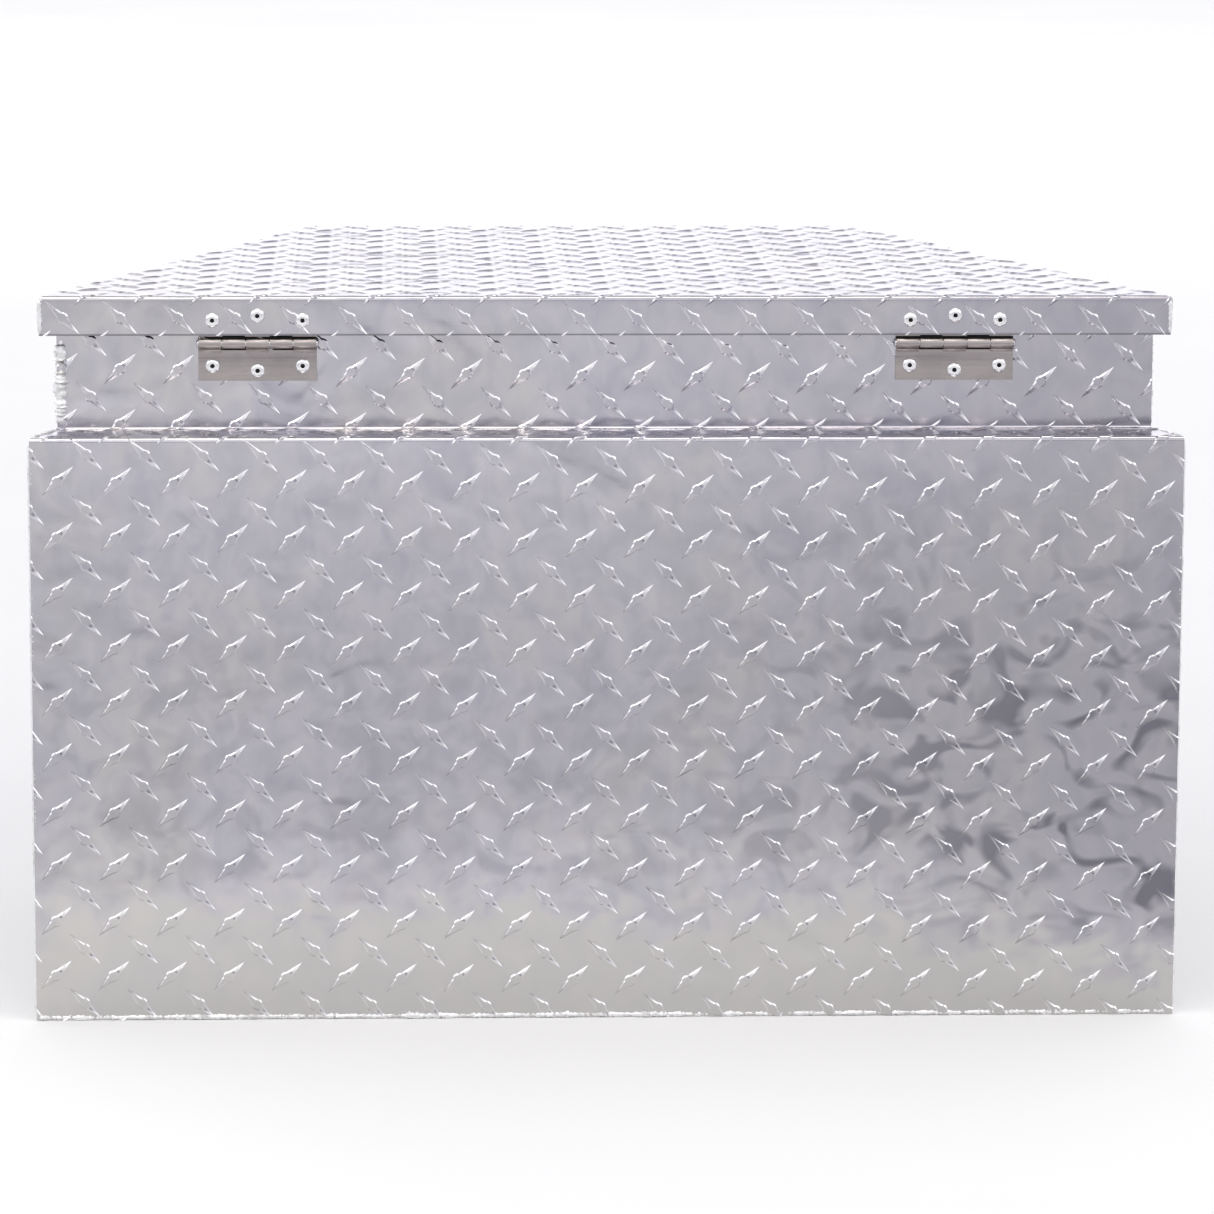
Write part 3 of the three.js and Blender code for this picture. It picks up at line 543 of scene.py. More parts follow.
def lug_depth(a, b):
    """How far a point is inside a lug's outline; a runs along the lug and b across it."""
    blade = (LUG_WAIST * (1 - np.abs(a) / LUG_HALF) - np.abs(b)) * EDGE_COS
    return np.maximum(blade, BOSS - np.hypot(a, b))


def lug_ring(inset):
    """The lug's outline, moved in by an inset: two tips, four straight edges and the boss."""
    waist = LUG_WAIST - inset / EDGE_COS
    tip = LUG_HALF * waist / LUG_WAIST
    radius = BOSS - inset
    slope = waist / tip
    # where the straight edge meets the boss: (waist - slope a)^2 + a^2 = radius^2
    k = 1 + slope ** 2
    reach = (waist * slope + math.sqrt((waist * slope) ** 2 - k * (waist ** 2 - radius ** 2))) / k
    angle = math.atan2(waist - slope * reach, reach)
    arc = np.linspace(angle, math.pi - angle, 6)
    top = [(tip, 0.0)] + [(radius * math.cos(t), radius * math.sin(t)) for t in arc]
    bottom = [(-a, -b) for a, b in top]
    return np.array(top + bottom)


class Lattice:
    """Lugs on a body-centred grid: one way up at the corners, the other way at the centres.
    `turn` tilts the rows and `lean` each lug. `relief` lowers the lugs from place to place."""

    def __init__(self, origin, pitch, turn=0.0, lean=math.radians(44.0), relief=None):
        self.origin = np.array(origin, float)
        self.pitch = np.array(pitch, float)
        self.lean = lean
        self.relief = relief
        c, s = math.cos(turn), math.sin(turn)
        self.axes = np.array([[c, s], [-s, c]])

    def centres(self, low, high):
        corners = np.array([[x, y] for x in (low[0], high[0]) for y in (low[1], high[1])])
        cells = (corners - self.origin) @ self.axes.T / self.pitch
        i0, j0 = np.floor(cells.min(0)).astype(int) - 1
        i1, j1 = np.ceil(cells.max(0)).astype(int) + 1
        i, j = np.meshgrid(np.arange(i0, i1 + 1), np.arange(j0, j1 + 1))
        grid = np.stack([i.ravel(), j.ravel()], 1)
        for shift, sign in ((0.0, 1), (0.5, -1)):
            yield (grid + shift) * self.pitch @ self.axes + self.origin, sign * self.lean

    def depth(self, points):
        local = (points - self.origin) @ self.axes.T / self.pitch
        best = np.full(len(points), -99.0)
        for shift, sign in ((0.0, 1), (0.5, -1)):
            cell = local - shift
            away = (cell - np.round(cell)) * self.pitch
            c, s = math.cos(sign * self.lean), math.sin(sign * self.lean)
            a = away[:, 0] * c + away[:, 1] * s
            b = away[:, 1] * c - away[:, 0] * s
            best = np.maximum(best, lug_depth(a, b))
        return best

    def height(self, points):
        """The face's height above the flat sheet: lugs, and the sheet's faint quilting."""
        inside = np.clip(self.depth(points) / SHOULDER, 0, 1)
        local = (points - self.origin) @ self.axes.T / self.pitch * 2 * math.pi
        quilt = QUILT * np.cos(local[:, 0]) * np.cos(local[:, 1])
        u, v = points[:, 0], points[:, 1]
        long_waves = np.sin(u / 31 + 1.3 * np.sin(v / 47))
        swell = SWELL * long_waves * np.sin(v / 37 + 0.9 * np.sin(u / 61))
        ramp = 0.75 * inside + 0.25 * inside ** 2 * (3 - 2 * inside)
        relief = self.relief(points) if self.relief else 1.0
        return LUG_HEIGHT * relief * ramp + quilt + swell

    def slope(self, points):
        step = 0.01
        du, dv = np.array([step, 0.0]), np.array([0.0, step])
        return np.stack([
            (self.height(points + du) - self.height(points - du)) / (2 * step),
            (self.height(points + dv) - self.height(points - dv)) / (2 * step),
        ], 1)


# Tread plate: folding --------------------

class Strip:
    """A sheet folded along one line of its own: u runs across, v along the folded line.
    The line's first coordinate runs along `inward` and its second is up."""

    def __init__(self, line, radii, origin, outward):
        self.outward = np.array(outward, float)
        self.across = np.cross(UP, self.outward)
        self.origin = np.array(origin, float)
        self.runs = []
        self.folds = []
        line = [np.array(p, float) for p in line]
        headings = [math.atan2(*(b - a)[::-1]) for a, b in zip(line, line[1:])]
        turns = [b - a for a, b in zip(headings, headings[1:])] + [0.0]
        trims = [0.0] + [r * math.tan(abs(t) / 2) for r, t in zip(radii, turns)] + [0.0]
        at = 0.0
        for i, heading in enumerate(headings):
            way = np.array([math.cos(heading), math.sin(heading)])
            start = line[i] + way * trims[i]
            length = np.linalg.norm(line[i + 1] - line[i]) - trims[i] - trims[i + 1]
            self.runs.append((at, start, heading, 0.0))
            at += length
            if turns[i]:
                bend = math.copysign(1 / radii[i], turns[i])
                arc = radii[i] * abs(turns[i])
                self.runs.append((at, start + way * length, heading, bend))
                self.folds += [at + arc * k / FOLD_STEPS for k in range(FOLD_STEPS + 1)]
                at += arc
        self.length = at

    def section(self, v):
        """Place and outward direction along the folded line."""
        index = np.searchsorted([r[0] for r in self.runs], v + 1e-9) - 1
        index = np.clip(index, 0, len(self.runs) - 1)
        from_start = v - np.array([r[0] for r in self.runs])[index]
        start = np.array([r[1] for r in self.runs])[index]
        heading = np.array([r[2] for r in self.runs])[index]
        bend = np.array([r[3] for r in self.runs])[index]
        turned = heading + bend * from_start
        safe = np.where(bend == 0, 1, bend)
        straight = np.stack([np.cos(heading), np.sin(heading)], 1) * from_start[:, None]
        curved = np.stack([
            np.sin(turned) - np.sin(heading), np.cos(heading) - np.cos(turned),
        ], 1) / safe[:, None]
        place = start + np.where((bend == 0)[:, None], straight, curved)
        return place, np.stack([-np.sin(turned), np.cos(turned)], 1)

    def fold_lines(self, reach=600.0):
        return [((-reach, v), (reach, v)) for v in self.folds]

    def lift(self, plane):
        """A pair in the line's own plane, as a direction in space."""
        return plane[:, :1] * -self.outward + plane[:, 1:] * UP

    def place(self, points):
        """Place, across direction, along direction and outward direction of flat points."""
        spot, out = self.section(points[:, 1])
        where = self.origin + points[:, :1] * self.across + self.lift(spot)
        along = np.stack([out[:, 1], -out[:, 0]], 1)
        across = np.broadcast_to(self.across, where.shape)
        return where, across, self.lift(along), self.lift(out)


class Tray:
    """A flat sheet folded down along every side of a trapezium: the lid."""

    def __init__(self, corners, top, drop):
        self.corners = np.array(corners, float)
        self.top = top
        ends = np.roll(self.corners, -1, 0)
        along = ends - self.corners
        self.along = along / np.linalg.norm(along, axis=1)[:, None]
        self.outward = np.stack([self.along[:, 1], -self.along[:, 0]], 1)
        self.arc = BEND * math.pi / 2
        self.depths = [self.arc * k / FOLD_STEPS for k in range(FOLD_STEPS + 1)]
        self.depths.append(self.arc + drop - BEND)
        before = np.roll(self.outward, 1, 0)
        half_turn = np.arccos((before * self.outward).sum(1)) / 2
        self.mitre = np.tan(half_turn)
        self.ends = ends

    def out(self, depth):
        return BEND * np.sin(np.minimum(depth / BEND, math.pi / 2))

    def edge(self, side, depth):
        """Both ends of a line on one flap, at a flat distance out from its fold."""
        start = self.corners[side] - self.along[side] * self.out(depth) * self.mitre[side]
        following = (side + 1) % 4
        end = self.ends[side] + self.along[side] * self.out(depth) * self.mitre[following]
        shift = self.outward[side] * depth
        return start + shift, end + shift

    def beyond(self, points):
        """Flat distance out from the folds; below zero on the top."""
        return np.max([(points - self.corners[k]) @ self.outward[k] for k in range(4)], 0)

    def outline(self):
        points = []
        for side in range(4):
            points += [self.edge(side, depth)[0] for depth in self.depths]
            points += [self.edge(side, depth)[1] for depth in reversed(self.depths[1:])]
        return np.array(points)

    def fold_lines(self):
        return [self.edge(side, depth) for side in range(4) for depth in self.depths[:-1]]

    def place(self, points):
        away = np.stack([
            (points - self.corners[k]) @ self.outward[k] for k in range(4)
        ], 1)
        side = away.argmax(1)
        depth = np.maximum(away.max(1), 0)
        angle = np.minimum(depth / BEND, math.pi / 2)
        out2 = self.outward[side]
        along2 = self.along[side]
        flat = points + out2 * (self.out(depth) - depth)[:, None]
        fall = BEND * (1 - np.cos(angle)) + np.maximum(depth - self.arc, 0)
        where = np.column_stack([flat, self.top - fall])
        out3 = np.column_stack([out2, np.zeros(len(points))])
        c, s = np.cos(angle)[:, None], np.sin(angle)[:, None]
        normal = out3 * s + UP * c
        radial = out3 * c - UP * s
        along3 = np.column_stack([along2, np.zeros(len(points))])
        across = along3 * along2[:, :1] + radial * out2[:, :1]
        forward = along3 * along2[:, 1:] + radial * out2[:, 1:]
        return where, across, forward, normal


# Tread plate: meshing --------------------

SLIVER = 1e-9  # twice the area of a triangle not worth keeping
SNAP = 1e-5  # points closer than this become one


def inside(points, loops):
    """Which points lie inside an outline with holes."""
    crossings = np.zeros(len(points), int)
    for loop in loops:
        for (x0, y0), (x1, y1) in zip(loop, np.roll(loop, -1, 0)):
            spans = (y0 > points[:, 1]) != (y1 > points[:, 1])
            if y0 != y1:
                x = x0 + (points[:, 1] - y0) * (x1 - x0) / (y1 - y0)
                crossings += spans & (points[:, 0] < x)
    return crossings % 2 == 1


def twice_area(flat, triangles):
    """Above zero where a triangle is wound anticlockwise."""
    a, b, c = (flat[triangles[:, k]] for k in range(3))
    return (b[:, 0] - a[:, 0]) * (c[:, 1] - a[:, 1]) - (b[:, 1] - a[:, 1]) * (c[:, 0] - a[:, 0])


def triangulate(points, edges, loops):
    """A constrained triangulation, kept inside the outline and wound anticlockwise."""
    out = geometry.delaunay_2d_cdt([Vector(p) for p in points], edges, [], 0, SNAP)
    flat = np.array([tuple(p) for p in out[0]])
    triangles = np.array(out[2])
    triangles = triangles[np.abs(twice_area(flat, triangles)) > SLIVER]
    flipped = twice_area(flat, triangles) < 0
    triangles[flipped] = triangles[flipped][:, ::-1]
    kept = triangles[inside(flat[triangles].mean(1), loops)]
    used, fresh = np.unique(kept, return_inverse=True)
    return flat[used], fresh.reshape(-1, 3)


def loop_edges(start, count):
    return [(start + i, start + (i + 1) % count) for i in range(count)]


def rim_edges(triangles):
    """The directed edges that only one triangle has."""
    directed = np.concatenate([triangles[:, [0, 1]], triangles[:, [1, 2]], triangles[:, [2, 0]]])
    key = np.sort(directed, 1)
    _, first, count = np.unique(key, axis=0, return_index=True, return_counts=True)
    return directed[first[count == 1]]


def tread_flat(loops, lattice, fold_lines):
    """The sheet's flat mesh: its outline, its folds, every lug's rings and a plain grid."""
    points, edges = [], []

    def add(line, closed):
        start = len(points)
        points.extend(map(tuple, line))
        if closed:
            edges.extend(loop_edges(start, len(line)))
        else:
            edges.append((start, start + 1))

    for loop in loops:
        add(loop, True)
    for line in fold_lines:
        add(line, False)
    low, high = loops[0].min(0), loops[0].max(0)
    rings = [lug_ring(inset) for inset in RINGS]
    for centres, lean in lattice.centres(low, high):
        turn = np.array([[math.cos(lean), math.sin(lean)], [-math.sin(lean), math.cos(lean)]])
        reach = LUG_HALF + 2
        near = (centres > low - reach).all(1) & (centres < high + reach).all(1)
        for centre in centres[near]:
            for ring in rings:
                add(ring @ turn + centre, True)
    u, v = np.meshgrid(np.arange(low[0], high[0], FLAT_GRID), np.arange(low[1], high[1], FLAT_GRID))
    grid = np.stack([u.ravel(), v.ravel()], 1)
    points.extend(map(tuple, grid[lattice.depth(grid) < -2]))
    return triangulate(points, edges, loops)


def back_face(flat, triangles, loops, fold_lines):
    """The plain inner face: the same rim, and edges along the folds, with no lugs."""
    rim = rim_edges(triangles)
    ids = np.unique(rim)
    index = {int(k): i for i, k in enumerate(ids)}
    edges = [(index[int(a)], index[int(b)]) for a, b in rim]
    points = flat[ids]
    for a, b in fold_lines:
        a, b = np.array(a), np.array(b)
        way = (b - a) / np.linalg.norm(b - a)
        off = np.abs((points - a) @ np.array([-way[1], way[0]]))
        along = (points - a) @ way
        on = np.where((off < 1e-3) & (along > -1e-3) & (along < np.linalg.norm(b - a) + 1e-3))[0]
        on = on[np.argsort(along[on])]
        for p, q in zip(on, on[1:]):
            if inside((points[[p]] + points[[q]]) / 2, loops)[0]:
                edges.append((int(p), int(q)))
    out = geometry.delaunay_2d_cdt([Vector(p) for p in points], edges, [], 0, SNAP / 100)
    if len(out[0]) != len(points):
        raise ValueError("the inner face added points to its rim")
    source = np.array([ids[o[0]] for o in out[3]])
    found = np.array([tuple(p) for p in out[0]])
    made = np.array(out[2])
    area = twice_area(found, made)
    made[area > 0] = made[area > 0][:, ::-1]
    made = made[np.abs(area) > SLIVER]
    return source[made[inside(found[made].mean(1), loops)]], rim


def lug_painted_light(depth, normal, shading):
    """How strong the painted highlight is at each point of a lug's sloping edge, most where the
    edge faces up and not at all on a level sheet, and how strong the painted shade line round the
    lug's foot is."""
    slope_band = np.clip(1.6 - 3.2 * np.abs(depth / SHOULDER - 0.5), 0, 1)
    level = np.clip(normal[:, 2] * 3 - 1.5, 0, 1)
    rise = np.clip(0.45 + 1.6 * (shading[:, 2] - normal[:, 2]), 0.28, 1)
    foot_shade = 0.2 * np.clip(1 - np.abs(depth) / FOOT_SHADE_REACH, 0, 1)
    return slope_band * rise * (1 - level), foot_shade


def tread_sheet(name, node, body, loops, lattice, fold):
    """A closed folded sheet with raised lugs outside and a plain face inside."""
    loops = [np.array(loop, float) for loop in loops]
    lines = fold.fold_lines()
    flat, triangles = tread_flat(loops, lattice, lines)
    inner, rim = back_face(flat, triangles, loops, lines)
    where, across, along, normal = fold.place(flat)
    raised = where + normal * lattice.height(flat)[:, None]
    slope = lattice.slope(flat)
    shading = normal - across * slope[:, :1] - along * slope[:, 1:]
    shading /= np.linalg.norm(shading, axis=1)[:, None]

    rim_ids = np.unique(rim)
    behind = np.full(len(flat), -1)
    behind[rim_ids] = len(flat) + np.arange(len(rim_ids))
    inner_points = where[rim_ids] - normal[rim_ids] * SHEET
    sides = np.column_stack([rim[:, 1], rim[:, 0], behind[rim[:, 0]], behind[rim[:, 1]]])
    faces = triangles.tolist() + behind[inner].tolist() + sides.tolist()
    obj = new_object(name, np.concatenate([raised, inner_points]), faces, [TREAD, MILL])

    mesh = obj.data
    which_material = [0] * len(triangles) + [1] * len(inner) + [0] * len(sides)
    mesh.polygons.foreach_set("material_index", which_material)
    mesh.polygons.foreach_set("use_smooth", [True] * len(faces))
    pad = np.zeros(len(rim_ids))
    # Painted highlights on the lugs' upward edges and painted shade round their feet, kept as point
    # attributes for the plate's colour.
    edge, foot = lug_painted_light(lattice.depth(flat), normal, shading)
    paint(mesh, "edge", np.concatenate([edge, pad]))
    paint(mesh, "foot", np.concatenate([foot, pad]))
    corners = shading[triangles].reshape(-1, 3)
    behind_normals = -normal[inner].reshape(-1, 3)
    edge_normals = np.repeat(face_normals(obj, len(triangles) + len(inner)), 4, 0)
    every = np.concatenate([corners, behind_normals, edge_normals])
    mesh.normals_split_custom_set(every.tolist())
    finish_piece(obj, body, [node])


def face_normals(obj, start):
    normals = np.empty(len(obj.data.polygons) * 3, np.float32)
    obj.data.polygons.foreach_get("normal", normals)
    return normals.reshape(-1, 3)[start:]


def paint(mesh, name, values):
    attribute = mesh.attributes.new(name, "FLOAT", "POINT")
    attribute.data.foreach_set("value", values.astype(np.float32))


# The body's sheets and the lid --------------------

# Spacing of the lugs that lean the same way, along each sheet and across it
PITCH = (37.0, 35.9)
BACK_PITCH = (37.2, 35.9)
LID_PITCH = (36.9, 37.2)
DISH_HOLE = (55.5, 38.5, 7)  # half width, half height and corner radius


def symmetric(points):
    """A closed outline from its right half, listed from bottom to top."""
    return [(u, v) for u, v in points] + [(-u, v) for u, v in reversed(points)]


def build_back():
    line = [(0, 0), (0, LEDGE_Z), (NECK_Y - BACK_Y, LEDGE_Z), (NECK_Y - BACK_Y, RIM_Z),
            (NECK_Y - BACK_Y + RIM_FLANGE, RIM_Z)]
    fold = Strip(line, [BEND, HOLLOW_BEND, BEND], (0, BACK_Y, 0), (0, -1, 0))
    stations = np.array([0.0] + fold.folds + [fold.length])
    depth = fold.section(stations)[0][:, 0]
    flange = depth > NECK_Y - BACK_Y + SHEET
    inset = np.where(flange, WALL_GAP, 0.0)
    half = [body_half(BACK_Y + d, i) for d, i in zip(depth, inset)]
    lattice = Lattice((-167.0, 314.2), BACK_PITCH, math.radians(-0.85))
    tread_sheet("back_sheet", "back_panel", "box", [symmetric(list(zip(half, stations)))],
                lattice, fold)


def build_front():
    fold = Strip([(0, 0), (0, RIM_Z), (RIM_FLANGE, RIM_Z)], [BEND], (0, FRONT_Y, 0), (0, 1, 0))
    half = body_half(FRONT_Y)
    top = body_half(FRONT_Y - RIM_FLANGE, WALL_GAP)
    low_fold, high_fold = fold.folds[0], fold.folds[-1]
    edge = [(half, 0), (half, low_fold), (half, high_fold), (top, fold.length)]
    hole = rounded_ring(*DISH_HOLE, steps=5) + middle_of("latch_gasket")[[0, 2]] * (-1, 1)
    lattice = Lattice((4.0, 17.0), PITCH)
    tread_sheet("front_sheet", "front_panel", "box", [symmetric(edge), hole], lattice, fold)


def build_side(name, sign):
    outward = np.array([sign, TAPER, 0]) / SLANT
    middle = (BACK_Y + FRONT_Y) / 2
    origin = (sign * body_half(middle), middle, 0)
    fold = Strip([(0, 0), (0, RIM_Z), (RIM_FLANGE, RIM_Z)], [BEND], origin, outward)
    start, end = BACK_Y + WALL_GAP, FRONT_Y - WALL_GAP
    neck = NECK_Y + WALL_GAP
    flange_start, flange_end = NECK_Y + RIM_FLANGE + 0.3, FRONT_Y - RIM_FLANGE - 0.3
    wall_top = fold.folds[0]
    elevation = [
        (start, 0), (end, 0), (end, wall_top), (flange_end, wall_top),
        (flange_end, fold.length), (flange_start, fold.length), (flange_start, wall_top),
        (neck, wall_top), (neck, LEDGE_Z - WALL_GAP), (start, LEDGE_Z - WALL_GAP),
    ]
    loop = [((y - middle) * SLANT * sign, v) for y, v in elevation]
    lattice = Lattice((sign * 6.0, 12.0 + 7 * sign), PITCH)
    tread_sheet(f"{name}_side_sheet", f"{name}_side_panel", "box", [loop], lattice, fold)


def build_lid():
    y0, y1 = LID_BACK_Y + BEND, LID_FRONT_Y - BEND
    back, front = lid_half(y0, BEND), lid_half(y1, BEND)
    corners = [(-back, y0), (back, y0), (front, y1), (-front, y1)]
    tray = Tray(corners, LID_TOP_Z, LID_TOP_Z - LID_BOTTOM_Z)
    lattice = Lattice((-73.0, LID_BACK_Y + 5.5), LID_PITCH, math.radians(-0.12),
                      relief=lambda points: np.clip(0.75 + tray.beyond(points) / 12, 0.75, 1))
    tread_sheet("lid_sheet", "lid_skin", "lid", [tray.outline()], lattice, tray)


def rounded_ring(half_width, half_height, radius, steps=6):
    """A rounded rectangle round the origin, anticlockwise."""
    points = []
    for quarter, (sx, sz) in enumerate([(1, 1), (-1, 1), (-1, -1), (1, -1)]):
        for k in range(steps + 1):
            angle = math.pi / 2 * (quarter + k / steps)
            points.append((
                sx * (half_width - radius) + radius * math.cos(angle),
                sz * (half_height - radius) + radius * math.sin(angle),
            ))
    return np.array(points)


# Welds --------------------

BEAD_STEP = 1.0
BEAD_SIDES = 8
BEAD_RIPPLE = 3.1  # from one ripple of the bead to the next
DRIFT_SPAN = 9  # stations over which a bead's wander is evened out


def weld(name, body, path, radius, ragged=0.16, lowest=None):
    """A rippled bead along a line of points."""
    path = np.array(path, float)
    spans = np.linalg.norm(np.diff(path, axis=0), axis=1)
    total = spans.sum()
    stations = np.linspace(0, total, max(int(total / BEAD_STEP), 4))
    reach = np.concatenate([[0], np.cumsum(spans)])
    line = np.stack([np.interp(stations, reach, path[:, k]) for k in range(3)], 1)
    tangent = np.gradient(line, axis=0)
    tangent /= np.linalg.norm(tangent, axis=1)[:, None]
    helper = UP if abs(tangent[0][2]) < 0.9 else np.array([1.0, 0, 0])
    side = np.cross(tangent, helper)
    side /= np.linalg.norm(side, axis=1)[:, None]
    over = np.cross(side, tangent)
    wander = rng.normal(0, 1, len(line) + DRIFT_SPAN - 1)
    drift = np.convolve(wander, np.ones(DRIFT_SPAN) / DRIFT_SPAN, "valid")
    line = line + side * (0.6 * ragged * radius * drift)[:, None]
    ripple = 0.05 * np.sin(stations * 2 * math.pi / BEAD_RIPPLE)
    swell = radius * (1 + ragged * drift + ripple)
    swell = swell * (1 + rng.normal(0, ragged * 0.3, len(line)))
    ends = np.minimum(stations, total - stations)
    swell *= np.clip(ends / (radius * 1.2), 0.15, 1) ** 0.5
    rings = []
    for k in range(BEAD_SIDES):
        angle = 2 * math.pi * k / BEAD_SIDES
        rough = swell * (1 + rng.normal(0, ragged * 0.25, len(line)))
        rings.append(line + side * (rough * math.cos(angle))[:, None]
                     + over * (rough * math.sin(angle))[:, None])
    vertices = np.stack(rings, 1).reshape(-1, 3)
    if lowest is not None:
        vertices[:, 2] = np.maximum(vertices[:, 2], lowest)
    count = len(line)
    faces = [face[::-1] for face in ring_faces(count, BEAD_SIDES)]
    faces.append(tuple(range(BEAD_SIDES)))
    faces.append(tuple(reversed(range((count - 1) * BEAD_SIDES, count * BEAD_SIDES))))
    obj = new_object(name, vertices, faces, [WELD])
    finish_piece(smooth(obj, 60), body)


def build_welds():
    seam = 2.15  # from a wall's outer face to the line of its bead
    back, neck, front = BACK_Y + seam, NECK_Y + seam, FRONT_Y - seam
    edge = BACK_Y + 1.2, FRONT_Y - 1.2
    for side, sign in (("left", -1), ("right", 1)):
        def at(y, z, out=0.0):
            return (sign * (body_half(y) + out), y, z)
        weld(f"weld_{side}_back", "box", [at(back, 4), at(back, LEDGE_Z - 3)], 2.0)
        weld(f"weld_{side}_front", "box", [at(front, 4), at(front, RIM_Z - 8)], 2.0)
        weld(f"weld_{side}_ledge", "box",
             [at(back, LEDGE_Z - 1.6), at(neck, LEDGE_Z - 1.6)], 2.2, 0.25)
        bead, inset = (4.0, -1.8) if side == "left" else (1.7, -0.2)
        weld(f"weld_{side}_neck", "box",
             [at(neck, LEDGE_Z + 1, inset), at(neck, LID_BOTTOM_Z - 2, inset)], bead, 0.4)
        weld(f"weld_{side}_foot", "box",
             [at(edge[0], 2.4, -0.9), at(edge[1], 2.4, -0.9)], 2.3, 0.22, 0.1)
        for end, y in (("back", LID_BACK_Y), ("front", LID_FRONT_Y)):
            x = sign * (lid_half(y) - 0.7)
            inward = 0.7 if end == "back" else -0.7
            weld(f"weld_lid_{side}_{end}", "lid",
                 [(x, y + inward, LID_BOTTOM_Z + 1), (x, y + inward, LID_TOP_Z - 2)], 1.7, 0.25)
    for end, y, inward in (("back", BACK_Y, 0.9), ("front", FRONT_Y, -0.9)):
        half = body_half(y) - 1.5
        weld(f"weld_{end}_foot", "box",
             [(-half, y + inward, 1.5), (half, y + inward, 1.5)], 1.7, 0.5, 0.1)


# Rivets, hinges --------------------

def lathe(name, profile, place, axis, material, sides=32, degrees=50, capped=True):
    """A turned piece: pairs of radius and distance along an axis from a place. Uncapped, its
    profile is a closed loop."""
    axis = np.array(axis, float) / np.linalg.norm(axis)
    helper = UP if abs(axis[2]) < 0.9 else np.array([1.0, 0, 0])
    side = np.cross(axis, helper)
    side /= np.linalg.norm(side)
    over = np.cross(axis, side)
    angles = np.arange(sides) * 2 * math.pi / sides
    wheel = np.outer(np.cos(angles), side) + np.outer(np.sin(angles), over)
    rings = [np.array(place) + axis * along + wheel * radius for radius, along in profile]
    faces = ring_faces(len(profile), sides, closed=not capped)
    if capped:
        faces.append(tuple(reversed(range(sides))))
        faces.append(tuple(range((len(profile) - 1) * sides, len(profile) * sides)))
    if profile[-1][1] < profile[0][1]:
        faces = [face[::-1] for face in faces]
    return smooth(new_object(name, np.concatenate(rings), faces, [material]), degrees)


RIVET_PROFILE = [
    (0.4, 0.3), (0.95, 0.3), (1.3, 0.45), (1.34, 1.1), (1.4, 1.62), (1.62, 1.88), (1.95, 1.98),
    (2.8, 1.84), (3.7, 1.42), (4.4, 0.86), (4.75, 0.35), (4.8, 0.12), (4.75, -0.1),
    (2.4, -0.15),
]
RIVET_HEAD = 2.0  # height of the dome
MANDREL_HOLE = 1.37  # radius


def build_rivet(node, body):
    """A blind rivet: a domed head with its mandrel hole, the shank and the swollen tail."""
    low, high = corner(node, 0), corner(node, 1)
    outward = -1 if node.startswith("hinge") else 1
    middle = middle_of(node)
    length = high[1] - low[1] - RIVET_HEAD
    seat = low[1] + RIVET_HEAD if outward < 0 else high[1] - RIVET_HEAD
    place = (middle[0], seat, middle[2])
    tail = [(2.4, 3.1 - length), (3.1, 2.4 - length), (3.2, 1.4 - length), (2.6, 0.5 - length),
            (1.4, -length), (0.5, 0.3 - length)]
    obj = lathe(node.replace("rivet", "blind_rivet"), RIVET_PROFILE + tail, place,
                (0, outward, 0), RIVET)
    # The faces inside the mandrel hole get the near-black material: painted shade in the hole.
    obj.data.materials.append(PAINTED_SHADE)
    for face in obj.data.polygons:
        spots = [np.array(obj.data.vertices[v].co) / MM for v in face.vertices]
        wide = max(math.hypot(p[0] - middle[0], p[2] - middle[2]) for p in spots)
        inside_head = all((p[1] - seat) * outward > 0.2 for p in spots)
        if wide < MANDREL_HOLE and inside_head:
            face.material_index = 1
    finish_piece(obj, body, [node])


HINGE_ROLL = 3.15  # radius of a knuckle
KNUCKLE_FOOT = 6.2  # from the pin to where a knuckle has run out into its leaf
LEAF = 1.6  # thickness
LEAF_HALF = 38.1  # half its length
KNUCKLES = 5
KNUCKLE_GAP = 0.22  # half the gap between two knuckles


def prism(section, x0, x1):
    """A closed bar along X from an outline in Y and Z."""
    count = len(section)
    vertices = [(x, y, z) for x in (x0, x1) for y, z in section]
    faces = [(k, (k + 1) % count, count + (k + 1) % count, count + k) for k in range(count)]
    faces.append(tuple(reversed(range(count))))
    faces.append(tuple(range(count, 2 * count)))
    return vertices, faces


def knuckle_section(back, pin_y, pin_z, up):
    """The leaf's end, rolled from its back face over the pin. The body's leaf is filleted
    below the roll; the lid's goes straight up behind the flange."""
    last = 205 if up < 0 else 270
    turns = np.linspace(0, math.radians(last), 22)
    outer = [(pin_y + HINGE_ROLL * math.cos(t), pin_z - up * HINGE_ROLL * math.sin(t))
             for t in turns]
    foot = pin_z + up * KNUCKLE_FOOT
    front = back - LEAF
    fillet = [(front - 3.0, pin_z - 2.9), (front - 1.3, pin_z - 3.7), (front - 0.4, pin_z - 4.6)]
    step = [(front, pin_z + 3.5)]
    return [(back, foot)] + outer + (fillet if up < 0 else step) + [(front, foot)]


def merged(parts):
    vertices, faces = [], []
    for part_vertices, part_faces in parts:
        start = len(vertices)
        vertices.extend(part_vertices)
        faces.extend([tuple(start + i for i in face) for face in part_faces])
    return vertices, faces


def reworked(obj, *steps):
    """Runs steps, one after another, on a piece's mesh."""
    work = bmesh.new()
    work.from_mesh(obj.data)
    for step in steps:
        step(work)
    work.to_mesh(obj.data)
    work.free()
    return obj


def outward_facing(obj):
    """Turns every closed shell's faces outwards."""
    return reworked(obj, lambda work: bmesh.ops.recalc_face_normals(work, faces=work.faces))


def join_points(work):
    bmesh.ops.remove_doubles(work, verts=work.verts, dist=0.01 * MM)


def make_faces_whole(work):
    bmesh.ops.dissolve_limit(work, angle_limit=math.radians(1), verts=work.verts,
                             edges=work.edges)


